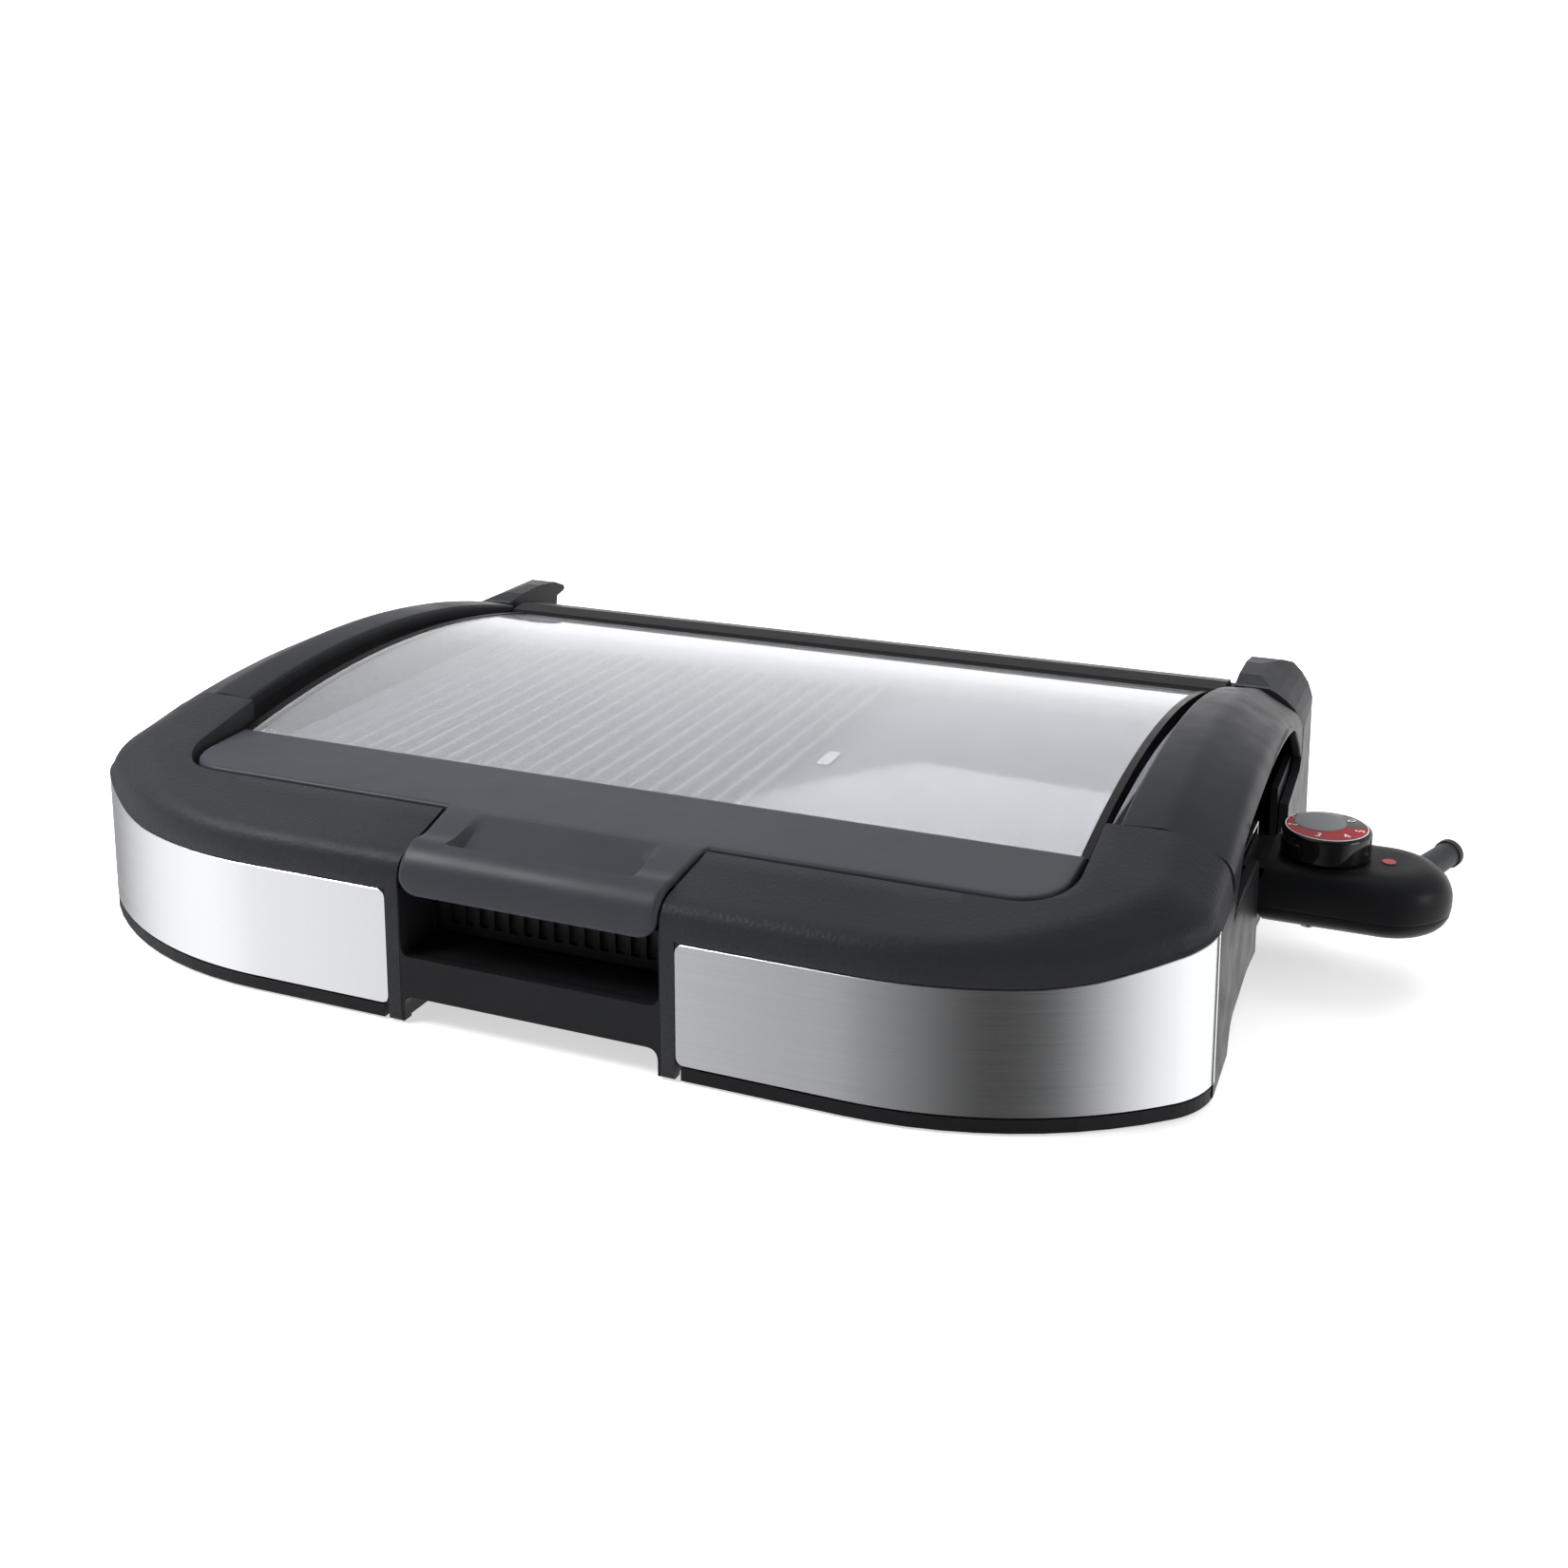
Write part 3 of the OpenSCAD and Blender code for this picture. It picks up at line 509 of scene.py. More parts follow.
SIDES = ((1, "right"), (-1, "left"))
FOOT_Z, ARCH_Z, ARCH_R = 1, 11.5, 11
SILL_Z, WINDOW_TOP = 28, 56
LEDGE_HALF = 197.5
w = WINDOW_HALF
sill_outline = fillet(
    [(-w - 0.3, FOOT_Z), (1 - w, FOOT_Z), (1 - w, ARCH_Z), (w - 1, ARCH_Z), (w - 1, FOOT_Z),
     (w + 0.3, FOOT_Z), (w + 0.3, WINDOW_TOP), (w - 0.2, WINDOW_TOP), (w - 0.2, SILL_Z),
     (0.2 - w, SILL_Z), (0.2 - w, WINDOW_TOP), (-w - 0.3, WINDOW_TOP)],
    [0, 0, ARCH_R, ARCH_R, 0, 0, 0, 0, 5, 5, 0, 0], 5)
front_panel = prism("front_panel", sill_outline, -FRONT + 0.05, -FRONT + 5,
                    "base", PANEL, 0.7)
for side, word in SIDES:
    cheek_outline = [(side * w, FOOT_Z), (side * (w + 5), FOOT_Z), (side * (w + 5), 62), (side * w, 62)]
    prism(f"{word}_window_cheek", cheek_outline, -FRONT + 3, -FRONT + 26,
          "base", PANEL, 0.5)
prism("window_floor", [(-w + 0.2, 25), (w - 0.2, 25), (w - 0.2, SILL_Z), (-w + 0.2, SILL_Z)],
      -FRONT + 4, -FRONT + 22, "base", PANEL, 0.4)
ledge_outline = [(-LEDGE_HALF, -150), (-LEDGE_HALF, -98), (LEDGE_HALF, -98), (LEDGE_HALF, -150),
                 (w + 1, -150), (w + 1, -140), (-w - 1, -140), (-w - 1, -150)]
prism("lid_ledge", ledge_outline, 64, 67, "base", BLACK, 0.4, "z")


def panel_bottom(y):
    """Lower edge of the side panels, arched between the feet."""
    return along([(-112, 1), (-84, 1), (-80, 9), (-74, 12), (-35, 13), (60, 1)], y)


def side_panel(name, side, end_y):
    """Dark panel below a side handle, from the steel band's end back to end_y."""
    edge = 0.8
    sections = []
    steps = int((end_y - BAND_END_Y) / 3)
    for i in range(steps + 1):
        y = lerp(BAND_END_Y + 0.2, end_y, i / steps)
        top = 64 if y < SEAM_Y else along([(SEAM_Y, 54), (-54, 54), (94, 41)], y)
        x = (side_x(y) if y > CORNER_Y else HALF_W) - 0.1
        low = panel_bottom(y)
        profile = ((x - 4, low), (x - edge, low), (x, low + edge),
                   (x, top - edge), (x - edge, top), (x - 4, top))
        sections.append([(side * px, y, pz) for px, pz in profile])
    return loft(name, sections, "base", PANEL, 30)


right_panel = side_panel("right_side_panel", 1, -8.3)
left_panel = side_panel("left_side_panel", -1, 93.6)
for piece in (right_cover, left_cover, front_panel, right_panel, left_panel):
    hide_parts("front_housing")

# ---------------------------------------------------------------- steel bands

BAND_FOOT, BAND_CORNER = 6.8, 3
BAND_FACE, BAND_EDGE, BAND_BACK = 0.15, 0.4, 1.0


def band_sections(side):
    """Sections of a thin band with rounded corners at the front post, from the post to its end."""
    sections = []
    stations = outline_stations(POST_HALF + BAND_GAP, BAND_END_Y - 0.2)
    rounding = [(POST_HALF + BAND_GAP + d, -FRONT, -90.0) for d in (0.3, 0.9, 1.8, 3.0)]
    for x, y, angle in stations[:1] + rounding + stations[1:]:
        n = (math.cos(math.radians(angle)), math.sin(math.radians(angle)))
        short = BAND_CORNER - max(0.0, x - POST_HALF - BAND_GAP)
        cut = BAND_CORNER - math.sqrt(BAND_CORNER ** 2 - short ** 2) if short > 0 else 0.0
        low, high = BAND_FOOT + cut, band_top(y) - cut
        profile = ((BAND_BACK, low), (BAND_EDGE, low), (BAND_FACE, low + 0.25),
                   (BAND_FACE, high - 0.25), (BAND_EDGE, high), (BAND_BACK, high))
        sections.append([(side * (x - n[0] * d), y - n[1] * d, z) for d, z in profile])
    return sections


for side, word in SIDES:
    band = loft(f"{word}_steel_band", band_sections(side), "base", BAND, 30)
    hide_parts(f"{word}_band")

# the moulding behind each band, seen in the gap around it
for side, word in SIDES:
    sections = []
    for x, y, angle in outline_stations(POST_HALF + 0.2, BAND_END_Y):
        n = (math.cos(math.radians(angle)), math.sin(math.radians(angle)))
        top = band_top(y) + 0.6
        sections.append([(side * (x - n[0] * d), y - n[1] * d, z)
                         for d, z in ((0.8, 6.5), (0.8, top), (3, top), (3, 6.5))])
    loft(f"{word}_band_backing", sections, "base", COVER, 50)

# ---------------------------------------------------------------- side handles

HANDLE_INNER = 201.5


def handle_section(y):
    """Section of a side handle at y: a flat top, a crease, a falling shoulder and an open underside."""
    t = (y - SEAM_Y) / (HANDLE_REAR_Y - SEAM_Y)
    top = handle_height(y)
    outer = side_x(y) - 0.2
    edge_top = lerp(78.6, 64.5, t) - lerp(87.4, 74.8, t) + top
    # lower edge: down to the side panel at both ends, arched over the hand gap between
    low = along([(SEAM_Y, 55), (-77, 57.5), (-70, 62), (-64, 68.5), (-58, 74), (-45, 77.2), (-10, 79),
                 (40, 80), (85, 76.5), (101, 73), (120, 64), (135, 54), (HANDLE_REAR_Y, 40)], y)
    low = min(low, edge_top - 1.5)
    crease = lerp(219.5, 217, t)
    under = max(low + 1, min(top - 13, edge_top - 2))
    outline = [(HANDLE_INNER, top - 7), (HANDLE_INNER, top - 0.6), (crease, top + 0.4),
               (outer - 2.6, edge_top), (outer, edge_top - 6), (outer, low), (outer - 4, low),
               (outer - 5, under), (crease - 1, top - 7)]
    outline = [(x, min(z, top + 0.4)) for x, z in outline]
    radii = [0.8, 1.6, 3.4, 4.2, 2, 1.0, 0.8, 2, 3]
    return [(x, y, z) for x, z in fillet(outline, radii, 4)]


HANDLE_STEPS = 60
for side, word in SIDES:
    sections = [handle_section(lerp(SEAM_Y + 0.6, HANDLE_REAR_Y - 0.35, i / HANDLE_STEPS))
                for i in range(HANDLE_STEPS + 1)]
    if side < 0:
        sections = [mirror_x(s) for s in sections]
    handle = loft(f"{word}_side_handle", sections, "base", HANDLE, 40)
    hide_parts(f"{word}_handle")

# ---------------------------------------------------------------- plate with rounded ribs

PLATE_HALF, PLATE_FRONT, PLATE_REAR, PLATE_Z = 188, -92, 138, 60
RIM_WIDTH, RIM_HEIGHT = 5, 5
RIB_LEFT, RIB_RIGHT, RIB_COUNT = -178, 38, 22
RIB_HALF, RIB_HEIGHT = 3.2, 3
RIB_FRONT, RIB_REAR = -80, 126


def plate_sheet():
    """Top of the plate: a raised rim, a shallow floor and long rounded ribs over its left part."""
    pitch = (RIB_RIGHT - RIB_LEFT) / (RIB_COUNT - 1)
    across_rib = (-3.2, -2.2, -1.4, -0.7, 0, 0.7, 1.4, 2.2, 3.2)
    rim_left = [-188, -187, -185.5, -184, -183]
    rim_right = [183, 184, 185.5, 187, 188]
    ribs = [RIB_LEFT + i * pitch + d for i in range(RIB_COUNT) for d in across_rib]
    xs = sorted(set(rim_left + ribs + [60, 90, 120, 150] + rim_right))
    ys = [-92, -91, -89.5, -88, -87, -80, -77, -75, -73, -70]
    ys += [lerp(-64, 108, i / 24) for i in range(25)]
    ys += [114, 117, 119, 121, 124, 133, 134, 135.5, 137, 138]
    rows = []
    for y in ys:
        row = []
        for x in xs:
            inset = min(PLATE_HALF - abs(x), y - PLATE_FRONT, PLATE_REAR - y)
            rim = max(0.0, 1 - inset / RIM_WIDTH)
            z = PLATE_Z + RIM_HEIGHT * smooth(rim * 1.35)
            near = min(range(RIB_COUNT), key=lambda i: abs(x - RIB_LEFT - i * pitch))
            across = abs(x - RIB_LEFT - near * pitch)
            if across < RIB_HALF:
                rounding = math.cos(across / RIB_HALF * math.pi / 2) ** 0.8
                end = smooth(min(y - RIB_FRONT, RIB_REAR - y) / 9)
                z = max(z, PLATE_Z + RIB_HEIGHT * rounding * end)
            row.append((x, y, z))
        rows.append(row)
    return rows


verts, faces = grid(plate_sheet())
plate_top = mesh_piece("plate_surface", verts, faces, "base", PLATE, 60)
solid = plate_top.modifiers.new("wall", "SOLIDIFY")
solid.thickness = 3.5 * MM
solid.offset = -1
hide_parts("grill_plate")
prism("plate_drain", fillet([(46.4, -4), (52.4, -4), (52.4, 14), (46.4, 14)], [3, 3, 3, 3], 4),
      60.05, 61.4, "base", STEEL, 0.2, "z")
prism("probe_boss", fillet([(14, 32), (28, 32), (28, 57), (14, 57)], [2, 2, 0, 0], 3),
      150, 180, "base", PLATE, 0.8, "x")

# ---------------------------------------------------------------- lid strip with its handle tab

STRIP_FRONT, STRIP_HALF, STRIP_CORNER = -141.2, 193, 20
TAB_ROOT, TAB_NECK = 58.2, 1.4
LIP_CORNER = 8
LIP_R, LIP_Y, LIP_Z, LIP_END = 14, -167.5, 58.6, 54
RIM = (0, 0.25, 0.7, 1.3, 2.0)
FINGER_HALF, FINGER_FRONT, FINGER_WALL, FINGER_REAR, FINGER_DROP = 40.5, -170, -168.7, -144, 5.5


def polyline(points):
    """Points with their distance travelled, for looking up places along a run."""
    out, travelled = [], 0.0
    for i, p in enumerate(points):
        if i:
            travelled += math.dist(p, points[i - 1])
        out.append((travelled, p))
    return out


# (y, z) along the lid's top from the glass forwards, over the rolled front and down the lip
roll = [(LIP_Y + LIP_R * math.cos(math.radians(a)), LIP_Z + LIP_R * math.sin(math.radians(a)))
        for a in range(75, 181, 5)]
TAB = polyline([(-98, 77.3), (STRIP_FRONT, 75.65), (-146, 75.2), (-152, 74.2), (-158, 73.1)]
               + roll + [(LIP_Y - LIP_R, LIP_END)])
TAB_END = TAB[-1][0]
TAB_Y = [(travelled, p[0]) for travelled, p in TAB]
TAB_Z = [(travelled, p[1]) for travelled, p in TAB]


def tab_point(s):
    """Point and outward normal on the lid's top profile, in the (y, z) plane."""
    back, ahead = max(0.0, s - 1.2), min(TAB_END, s + 1.2)
    dy = along(TAB_Y, ahead) - along(TAB_Y, back)
    dz = along(TAB_Z, ahead) - along(TAB_Z, back)
    size = math.hypot(dy, dz)
    return along(TAB_Y, s), along(TAB_Z, s), dz / size, -dy / size


def tab_s(y):
    """Distance along the profile at which it reaches y."""
    return along([(-p[0], t) for t, p in TAB if p[0] > -181.4], -y)


STRIP_S = tab_s(STRIP_FRONT)


def tab_half(s):
    """Half width of the handle tab along its length, with rounded lower corners."""
    half = along([(STRIP_S, TAB_ROOT), (STRIP_S + TAB_NECK, 57.3), (tab_s(-160), 55.3), (TAB_END, 55.2)], s)
    low = s - (TAB_END - LIP_CORNER)
    if low > 0:
        half -= LIP_CORNER - math.sqrt(max(0.0, LIP_CORNER ** 2 - low ** 2))
    return half


def strip_half(s):
    """Half width of the strip behind the tab, with rounded front corners."""
    low = s - (STRIP_S - STRIP_CORNER)
    if low <= 0:
        return STRIP_HALF
    return STRIP_HALF - STRIP_CORNER + math.sqrt(max(0.0, STRIP_CORNER ** 2 - low ** 2))


def lid_edge():
    """Right half of the edge of the strip and tab, as (x, distance along the profile)."""
    corner = [STRIP_S - STRIP_CORNER * (1 - math.sin(a / 20 * math.pi / 2)) for a in range(21)]
    neck = [STRIP_S, STRIP_S + TAB_NECK, tab_s(-150), tab_s(-160), TAB_END - LIP_CORNER]
    lip = [TAB_END - LIP_CORNER * (1 - math.sin(a / 12 * math.pi / 2)) for a in range(1, 13)]
    strip = [(strip_half(s), s) for s in [0] + corner]
    tab = [(tab_half(s), s) for s in neck + lip]
    return strip + tab + [(0, TAB_END)]


LID_EDGE = lid_edge()


def from_edge(x, s):
    """Distance from the edge of the strip and tab, measured on the profile."""
    best = 99.0
    for (ax, ay), (bx, by) in zip(LID_EDGE, LID_EDGE[1:]):
        dx, dy = bx - ax, by - ay
        t = ((abs(x) - ax) * dx + (s - ay) * dy) / max(1e-9, dx * dx + dy * dy)
        t = min(1.0, max(0.0, t))
        best = min(best, math.hypot(abs(x) - ax - dx * t, s - ay - dy * t))
    return best


def finger_depth(x, y):
    """Depth of the finger recess: a ramp that deepens towards the front, with a wall at its end."""
    across = min(1.0, max(0.0, (FINGER_HALF - abs(x)) / 3))
    ramp = along([(FINGER_FRONT, 0), (FINGER_WALL, FINGER_DROP), (FINGER_REAR, 0)], y)
    return ramp * across


def rounded_drop(distance, radius):
    """Drop of a rounded edge at a distance from it."""
    if distance >= radius:
        return 0.0
    return radius - math.sqrt(radius ** 2 - (radius - distance) ** 2)


def lid_columns(s):
    """Places across the right half of one row: the tab's first, then the strip's beyond them."""
    edge = tab_half(s) if s > STRIP_S else TAB_ROOT
    tab = [f * min(1.0, (edge - 7) / 44.2) for f in (0, 9, 18, 27, 34, 37.5, 38.3, 39.7, FINGER_HALF, 42)]
    half = tab + [edge - d for d in (6, 3.5) + tuple(reversed(RIM))]
    if s <= STRIP_S:
        side = strip_half(s)
        half += [lerp(TAB_ROOT, side - 7, f) for f in (0.01, 0.03, 0.08, 0.2, 0.4, 0.6, 0.8, 0.93, 1)]
        half += [side - d for d in (5, 3.5) + tuple(reversed(RIM))]
    return half


def lid_rows():
    """Distances along the profile at which the strip and tab have a row of points."""
    strip = [0, 0.25, 0.8, 2, 8, 15] + [STRIP_S - d for d in (20, 15, 10, 6, 3.5) + tuple(reversed(RIM))]
    ramp = [lerp(-144.2, -168.6, i / 9) for i in range(10)]
    recess = [tab_s(y) for y in [-143.8] + ramp + [-168.8, -169.9, -170.2]]
    lip = [lerp(recess[-1], TAB_END - LIP_CORNER, i / 9) for i in range(1, 10)]
    end = [TAB_END - d for d in (6.5, 5, 4, 3) + tuple(reversed(RIM))]
    return strip + [STRIP_S + 0.5, STRIP_S + TAB_NECK] + recess + lip + end


def lid_front():
    """Vertices and faces of the strip and tab: a top sheet, one below it, and walls between."""
    top, under, rows = [], [], []
    for s in lid_rows():
        half = lid_columns(s)
        y, z, ny, nz = tab_point(s)
        wall = along([(-164, 3), (-150, 6.6), (-142, 7.6), (-98, 9.3)], y)
        rows.append((len(top), len(half)))
        for x in [-x for x in reversed(half[1:])] + half:
            drop = max(rounded_drop(from_edge(x, s), 1.8), rounded_drop(s, 0.7))
            top.append((x, y - ny * drop, z - nz * drop - finger_depth(x, y)))
            over_recess = abs(x) < 41 and -172 < y < -142
            thick = max(wall, 7.6) if over_recess else wall
            under.append((x, y - ny * thick, z - nz * thick))
    faces = []
    for (a, a_half), (b, b_half) in zip(rows, rows[1:]):
        shared = min(a_half, b_half)
        for j in range(1 - shared, shared - 1):
            p, q = a + a_half - 1 + j, b + b_half - 1 + j
            faces.append((p, p + 1, q + 1, q))
    offset = len(top)
    edges = {}
    for face in faces:
        for p, q in zip(face, face[1:] + face[:1]):
            edges[(p, q)] = True
    closed = list(faces) + [tuple(offset + i for i in reversed(face)) for face in faces]
    closed += [(q, p, offset + p, offset + q) for p, q in edges if (q, p) not in edges]
    return top + under, closed


verts, faces = lid_front()
lid_strip = mesh_piece("lid_strip_and_tab", verts, faces, "lid", LID, 27)
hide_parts("lid_front_frame")

# ---------------------------------------------------------------- control case and knob

CASE_END, CASE_HALF, CASE_X0 = 316.5, 27, 241


def case_ring(inset, z):
    """Outline of the control case, inset by a distance: straight sides and a half-round outer end."""
    centre_x = CASE_END - CASE_HALF
    r = CASE_HALF - inset
    x0 = CASE_X0 + min(inset, 3)
    ring = [(x0, CONTROL_Y - r, z), (lerp(x0, centre_x, 0.5), CONTROL_Y - r, z)]
    ring += [(centre_x + r * math.cos(a), CONTROL_Y + r * math.sin(a), z)
             for a in [math.radians(-90 + 180 * i / 40) for i in range(41)]]
    ring += [(lerp(x0, centre_x, 0.5), CONTROL_Y + r, z), (x0, CONTROL_Y + r, z)]
    return ring


# (inset, z) up the two shells
LOWER_CASE = [(16, 20), (12, 20.1), (8.6, 20.6), (5.8, 21.6), (3.6, 23), (1.9, 24.8), (0.85, 26.8),
              (0.4, 28.6), (0.5, 28.9), (4, 28.95)]
UPPER_CASE = [(4, 29.0), (0.5, 29.05), (0.3, 29.3), (0.12, 30.5), (0, 32.5), (0, 34), (0.25, 36.2),
              (0.9, 38.3), (2, 40.4), (3.6, 42.3), (5.8, 44), (8.4, 45.2), (11.2, 45.85), (15, 46)]
upper_case = loft("upper_case", [case_ring(*p) for p in UPPER_CASE], "control", CASE, 40)
lower_case = loft("lower_case", [case_ring(*p) for p in LOWER_CASE], "control", CASE, 40)
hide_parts("control_upper_shell")
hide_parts("control_lower_shell")


def lathe(name, cx, cy, profile, body, mat, count=96, smooth_angle=35):
    """A turned solid about a vertical axis, from (radius, z) points."""
    rings = [[(cx + r * math.cos(a), cy + r * math.sin(a), z)
              for a in [2 * math.pi * i / count for i in range(count)]] for r, z in profile]
    return loft(name, rings, body, mat, smooth_angle)


CASE_SCREWS = ((262, 1.5, 21.5), (262, 40.5, 21.5), (306, 21, 20.7))
for number, (x, y, z) in enumerate(CASE_SCREWS):
    profile = [(2.2, z + 2), (3, z + 2), (3, z), (2.6, z - 0.3), (1.2, z - 0.4)]
    head = lathe(f"case_screw_{number}", x, y, profile, "control", SCREW, 32)
    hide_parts("control_screws")

KNOB_TOP = 57.6
KNOB_PROFILE = [(15, 46.5), (17.4, 46.5), (17.9, 46.6), (18.25, 46.9), (18.4, 47.5), (18.4, 55.9),
                (18.3, 56.5), (18.0, 57.0), (17.6, 57.3), (17.1, 57.55), (16.9, KNOB_TOP)]
knob_shell = lathe("knob_shell", CONTROL_X, CONTROL_Y, KNOB_PROFILE, "knob", KNOB)
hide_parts("knob_body")

# the grey cap sits off the knob's centre, which leaves a crescent for the dial
CAP_AT = (-3.3, 3.8)
CAP_R = 10.8
CAP_PROFILE = [(CAP_R, KNOB_TOP - 0.6), (CAP_R, KNOB_TOP + 0.08), (CAP_R - 0.25, KNOB_TOP + 0.28),
               (CAP_R - 0.8, KNOB_TOP + 0.33)]
knob_disc = lathe("knob_disc", CONTROL_X + CAP_AT[0], CONTROL_Y + CAP_AT[1], CAP_PROFILE,
                  "knob", CAP)
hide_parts("knob_cap")


def cap_reach(a):
    """Distance from the knob's centre to the edge of its cap, in direction a."""
    run = CAP_AT[0] * math.cos(a) + CAP_AT[1] * math.sin(a)
    return run + math.sqrt(run ** 2 - CAP_AT[0] ** 2 - CAP_AT[1] ** 2 + CAP_R ** 2)


def dial_strip(name, start, end, inner, outer, top, mat):
    """A thin printed band on the knob's top between two directions in degrees."""
    sections = []
    low, high = KNOB_TOP - 0.1, KNOB_TOP + top
    count = int(abs(end - start) / 3)
    for i in range(count + 1):
        a = math.radians(lerp(start, end, i / count))
        r0, r1 = inner(a), outer(a)
        sections.append([(CONTROL_X + r * math.cos(a), CONTROL_Y + r * math.sin(a), z)
                         for r, z in ((r0, low), (r1, low), (r1, high), (r0, high))])
    return loft(name, sections, "knob", mat, 30)


DIAL_R, LINE_R = 16.5, 16.8
DIAL_START, LINE_START, DIAL_END = 11, 74, -212
crescent = dial_strip("dial_crescent", DIAL_START, DIAL_END, lambda a: cap_reach(a) - 0.2, lambda a: DIAL_R,
                      0.1, RED)
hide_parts("dial_ring")
dial_strip("dial_rim_line", LINE_START, DIAL_END, lambda a: DIAL_R - 0.05, lambda a: LINE_R,
           0.13, WHITE)


NUMERAL_HALF_DEPTH = 0.02


def numeral(text, at, size):
    """A raised numeral on the knob's top, with its head towards the knob's centre."""
    curve = bpy.data.curves.new(f"numeral_{text}", "FONT")
    curve.body = text
    curve.size = 1.0
    curve.extrude = NUMERAL_HALF_DEPTH
    curve.align_x = "CENTER"
    curve.align_y = "CENTER"
    temporary = bpy.data.objects.new("temporary", curve)
    flat = bpy.data.meshes.new_from_object(temporary)
    turn = math.atan2(at[1], at[0]) + math.pi / 2
    points = []
    for vertex in flat.vertices:
        x, y = vertex.co.x * size * 0.9, vertex.co.y * size
        points.append((CONTROL_X + at[0] + x * math.cos(turn) - y * math.sin(turn),
                       CONTROL_Y + at[1] + x * math.sin(turn) + y * math.cos(turn),
                       KNOB_TOP + 0.1 + (vertex.co.z + NUMERAL_HALF_DEPTH) * 2))
    faces = [tuple(p.vertices) for p in flat.polygons]
    mesh_piece(f"numeral_{text}", points, faces, "knob", WHITE, 30)
    bpy.data.objects.remove(temporary)
    bpy.data.curves.remove(curve)
    bpy.data.meshes.remove(flat)


# direction in degrees, distance from the knob's centre, and size
NUMERALS = {"0": (48, 13.4, 5.6), "1": (-200, 15.0, 3.2), "2": (-166, 13.9, 5.6), "3": (-100, 11.8, 5.6),
            "4": (-44, 12.4, 5.6), "5": (-4, 13.6, 5.6)}
for text, (direction, reach, size) in NUMERALS.items():
    a = math.radians(direction)
    numeral(text, (reach * math.cos(a), reach * math.sin(a)), size)

# ---------------------------------------------------------------- softened edges on the CAD nodes

FLAT_ANGLE = 0.05
ARCHED = ("lid_glass", "left_lid_trim", "right_lid_trim")
EDGE_WIDTH = {
    "lid_rear_rail": 0.7, "lid_glass": 0.5, "left_lid_trim": 0.5, "right_lid_trim": 0.5,
    "left_rear_post": 1.6, "right_rear_post": 1.6, "rear_panel": 0.6, "base_housing": 0.4,
    "drip_tray": 0.4, "tray_shelf": 0.4, "socket_guard": 0.3, "terminal_block": 0.8, "connector_block": 0.8,
    "cord_gland": 0.6, "rubber_feet": 0.8,
}
for node_name, width in EDGE_WIDTH.items():
    if node_name not in ARCHED:
        merge = nodes[node_name].modifiers.new("merge_flats", "DECIMATE")
        merge.decimate_type = "DISSOLVE"
        merge.angle_limit = math.radians(FLAT_ANGLE)
    bevel(nodes[node_name], width)

# ---------------------------------------------------------------- floor, camera and light

def sweep_floor():
    """A pale paper floor in metres that curves up behind the griddle."""
    front, bend_y, bend_r, height, half = -4.0, 2.4, 1.2, 4.0, 5.0
    profile = [(front, 0.0), (bend_y, 0.0)]
    profile += [(bend_y + bend_r * math.sin(a), bend_r - bend_r * math.cos(a)) for a in
                [math.radians(i * 7.5) for i in range(1, 13)]]
    profile.append((bend_y + bend_r, height))
    verts = [(x, y, z) for y, z in profile for x in (-half, half)]
    faces = [(2 * i, 2 * i + 1, 2 * i + 3, 2 * i + 2) for i in range(len(profile) - 1)]
    data = bpy.data.meshes.new("floor")
    data.from_pydata(verts, [], faces)
    data.shade_smooth()
    obj = bpy.data.objects.new("floor", data)
    bpy.context.scene.collection.objects.link(obj)
    look = Look("floor_paper", 0.9)
    look.colour((0.84, 0.84, 0.84), (0.88, 0.88, 0.88), 2.0)
    look.shader.inputs["Emission Color"].default_value = (1, 1, 1, 1)
    look.shader.inputs["Emission Strength"].default_value = 0.6
    data.materials.append(look.mat)
    obj.visible_glossy = False


def lamp(name, at, towards, size, power, mirrored=True):
    """A white soft box; mirrored says whether it shows as a highlight on shiny parts."""
    data = bpy.data.lights.new(name, "AREA")
    data.shape = "RECTANGLE"
    data.size, data.size_y = size
    data.energy = power
    obj = bpy.data.objects.new(name, data)
    bpy.context.scene.collection.objects.link(obj)
    obj.location = at
    obj.rotation_euler = (Vector(towards) - Vector(at)).to_track_quat("-Z", "Y").to_euler()
    obj.visible_glossy = mirrored


sweep_floor()
camera_data = bpy.data.cameras.new("camera")
camera = bpy.data.objects.new("camera", camera_data)
bpy.context.scene.collection.objects.link(camera)
camera_data.sensor_width = 36
camera_data.lens = 42.91
camera_data.shift_y = -0.197
camera_data.clip_start = 0.01
camera.location = ORIGIN + Vector((0.3441, -0.7457, 0.3441))
camera.rotation_euler = (math.radians(90 - 10.6065), 0, math.radians(22.8813))
bpy.context.scene.camera = camera


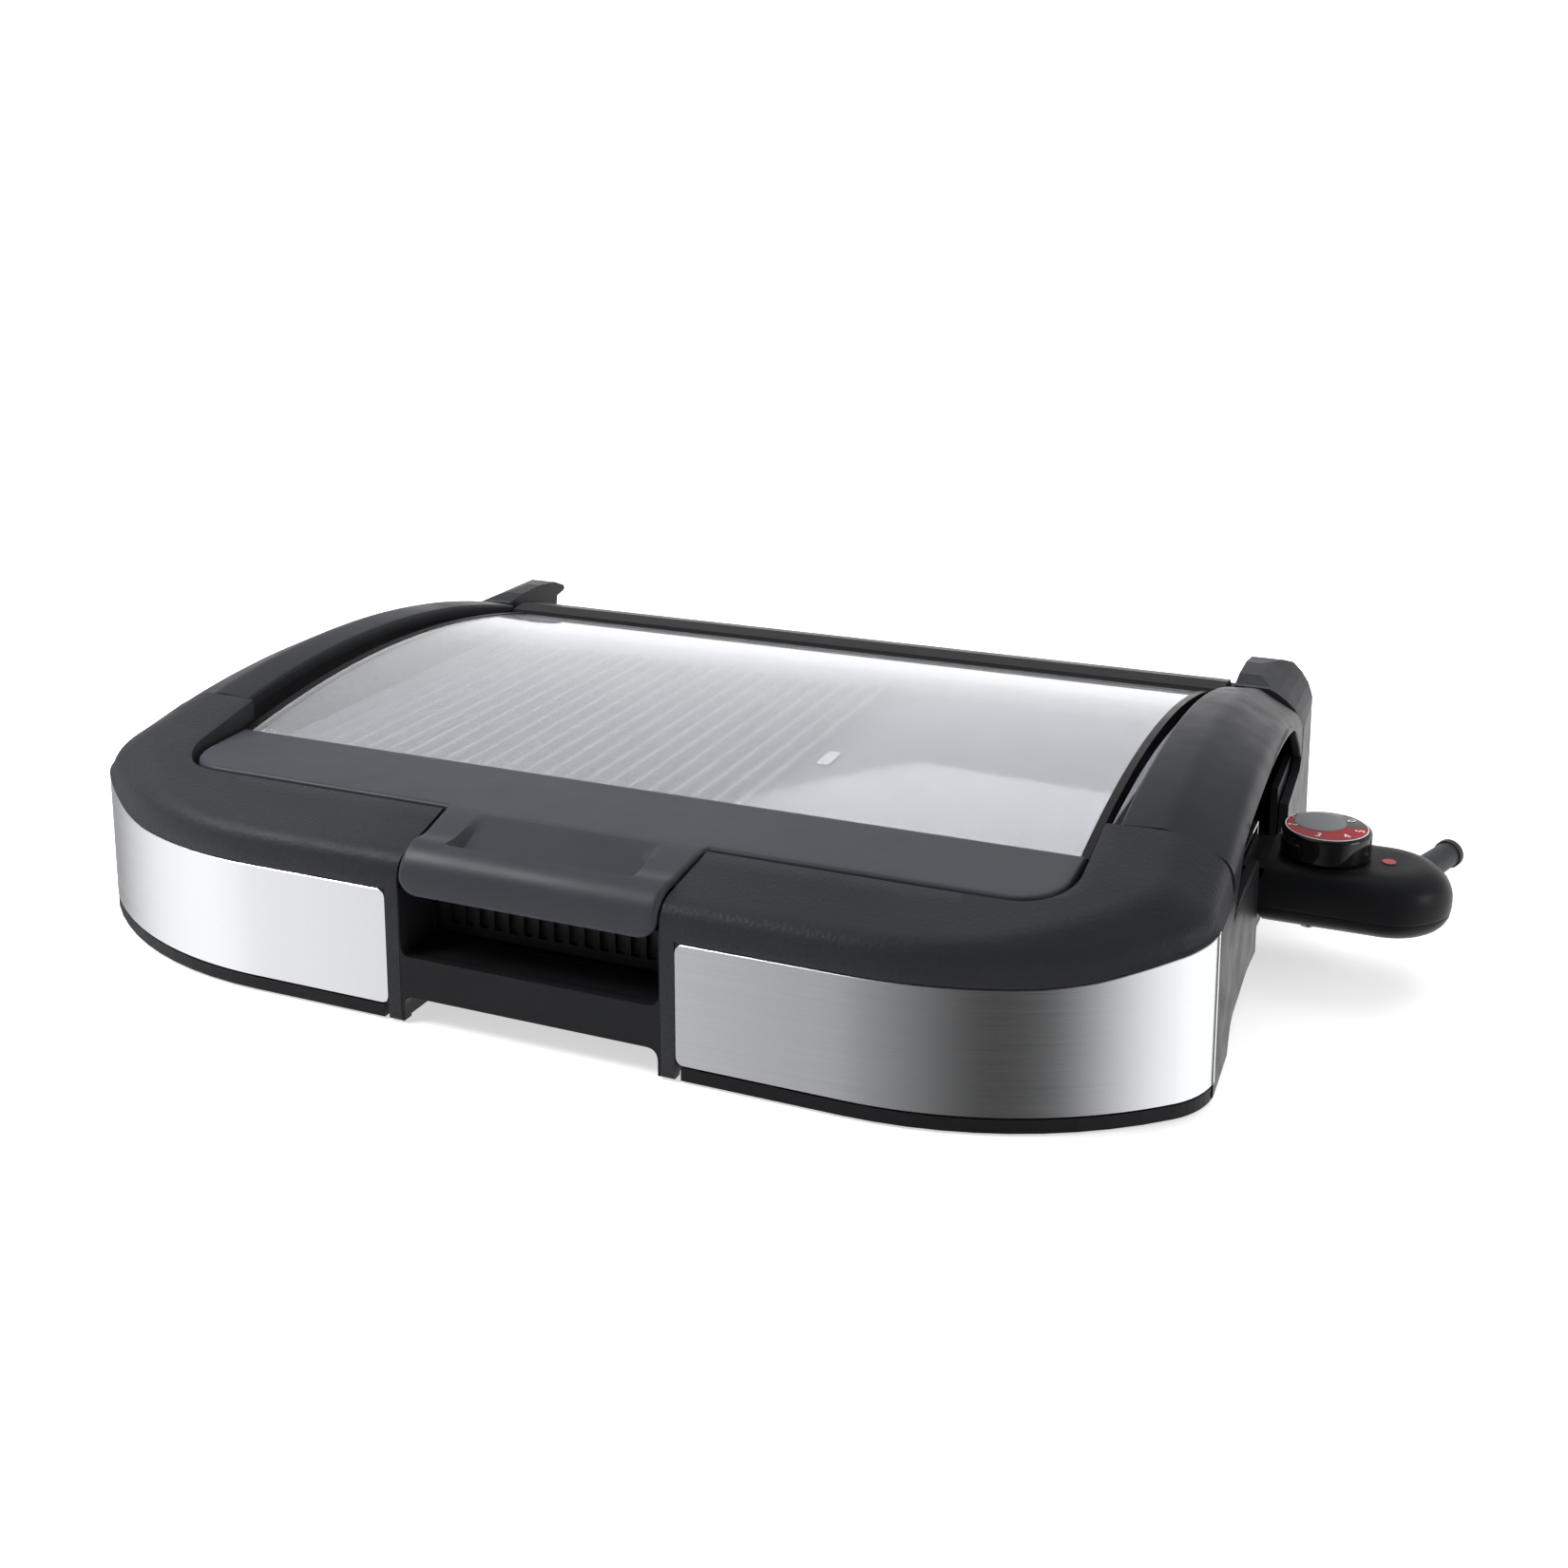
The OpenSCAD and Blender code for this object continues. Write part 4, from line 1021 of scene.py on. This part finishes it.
def studio():
    """Soft room light: brightness by compass direction, fading towards the ceiling, plain white behind."""
    world = bpy.data.worlds.new("studio")
    bpy.context.scene.world = world
    world.use_nodes = True
    tree = world.node_tree
    split = tree.nodes.new("ShaderNodeSeparateXYZ")
    tree.links.new(tree.nodes.new("ShaderNodeTexCoord").outputs["Generated"], split.inputs["Vector"])
    flip = tree.nodes.new("ShaderNodeMath")
    flip.operation = "MULTIPLY"
    flip.inputs[1].default_value = -1
    tree.links.new(split.outputs["Y"], flip.inputs[0])
    compass = tree.nodes.new("ShaderNodeMath")
    compass.operation = "ARCTAN2"
    tree.links.new(split.outputs["X"], compass.inputs[0])
    tree.links.new(flip.outputs[0], compass.inputs[1])
    turn = tree.nodes.new("ShaderNodeMapRange")
    turn.inputs["From Min"].default_value = -math.pi
    turn.inputs["From Max"].default_value = math.pi
    tree.links.new(compass.outputs[0], turn.inputs["Value"])

    def ramp(source, stops):
        node = tree.nodes.new("ShaderNodeValToRGB")
        while len(node.color_ramp.elements) < len(stops):
            node.color_ramp.elements.new(0.5)
        for element, (place_at, level) in zip(node.color_ramp.elements, stops):
            element.position = place_at
            element.color = (level, level, level, 1)
        tree.links.new(source, node.inputs["Fac"])
        return node.outputs["Color"]

    # compass direction, 0 degrees towards the front and positive to the right, and brightness there
    horizon = [(-180, 0.98), (-150, 0.98), (-135, 0.45), (-118, 0.14), (-98, 0.55), (-80, 0.88), (-60, 0.98),
               (-38, 0.92), (-24, 0.24), (-5, 0.20), (18, 0.03), (42, 0.05), (58, 0.45), (74, 0.98),
               (110, 0.98), (180, 0.98)]
    around = ramp(turn.outputs["Result"], [((a + 180) / 360, level) for a, level in horizon])
    lift = tree.nodes.new("ShaderNodeMapRange")
    lift.inputs["From Min"].default_value = -1
    tree.links.new(split.outputs["Z"], lift.inputs["Value"])
    ceiling = [(0.30, 1.0), (0.52, 1.0), (0.62, 0.55), (0.80, 0.42), (1.0, 0.15)]
    height = ramp(lift.outputs["Result"], ceiling)
    product = tree.nodes.new("ShaderNodeMix")
    product.data_type = "RGBA"
    product.blend_type = "MULTIPLY"
    product.inputs["Factor"].default_value = 1.0
    tree.links.new(around, product.inputs["A"])
    tree.links.new(height, product.inputs["B"])
    tree.links.new(product.outputs["Result"], tree.nodes["Background"].inputs["Color"])
    tree.nodes["Background"].inputs["Strength"].default_value = 1.3
    plain = tree.nodes.new("ShaderNodeBackground")
    plain.inputs["Color"].default_value = (1, 1, 1, 1)
    path = tree.nodes.new("ShaderNodeLightPath")
    pick = tree.nodes.new("ShaderNodeMixShader")
    tree.links.new(path.outputs["Is Camera Ray"], pick.inputs["Fac"])
    tree.links.new(tree.nodes["Background"].outputs["Background"], pick.inputs[1])
    tree.links.new(plain.outputs["Background"], pick.inputs[2])
    tree.links.new(pick.outputs["Shader"], tree.nodes["World Output"].inputs["Surface"])


studio()
lamp("key", (-1.2, 0.25, 0.8), (-0.15, -0.05, 0.05), (0.9, 0.6), 24, mirrored=False)
lamp("side", (1.3, -0.1, 0.5), (0.2, -0.1, 0.05), (0.5, 0.4), 3)
lamp("top", (-0.3, 0.3, 1.8), (0, 0, 0.05), (1.6, 1.0), 3)
lamp("front_top", (-0.75, -0.5, 0.95), (-0.2, -0.15, 0.05), (0.6, 0.35), 11)
lamp("floor_wash", (0.2, 1.9, 2.2), (0, 1.2, 0), (3.0, 1.5), 45, mirrored=False)
bpy.context.scene.view_settings.view_transform = "Standard"
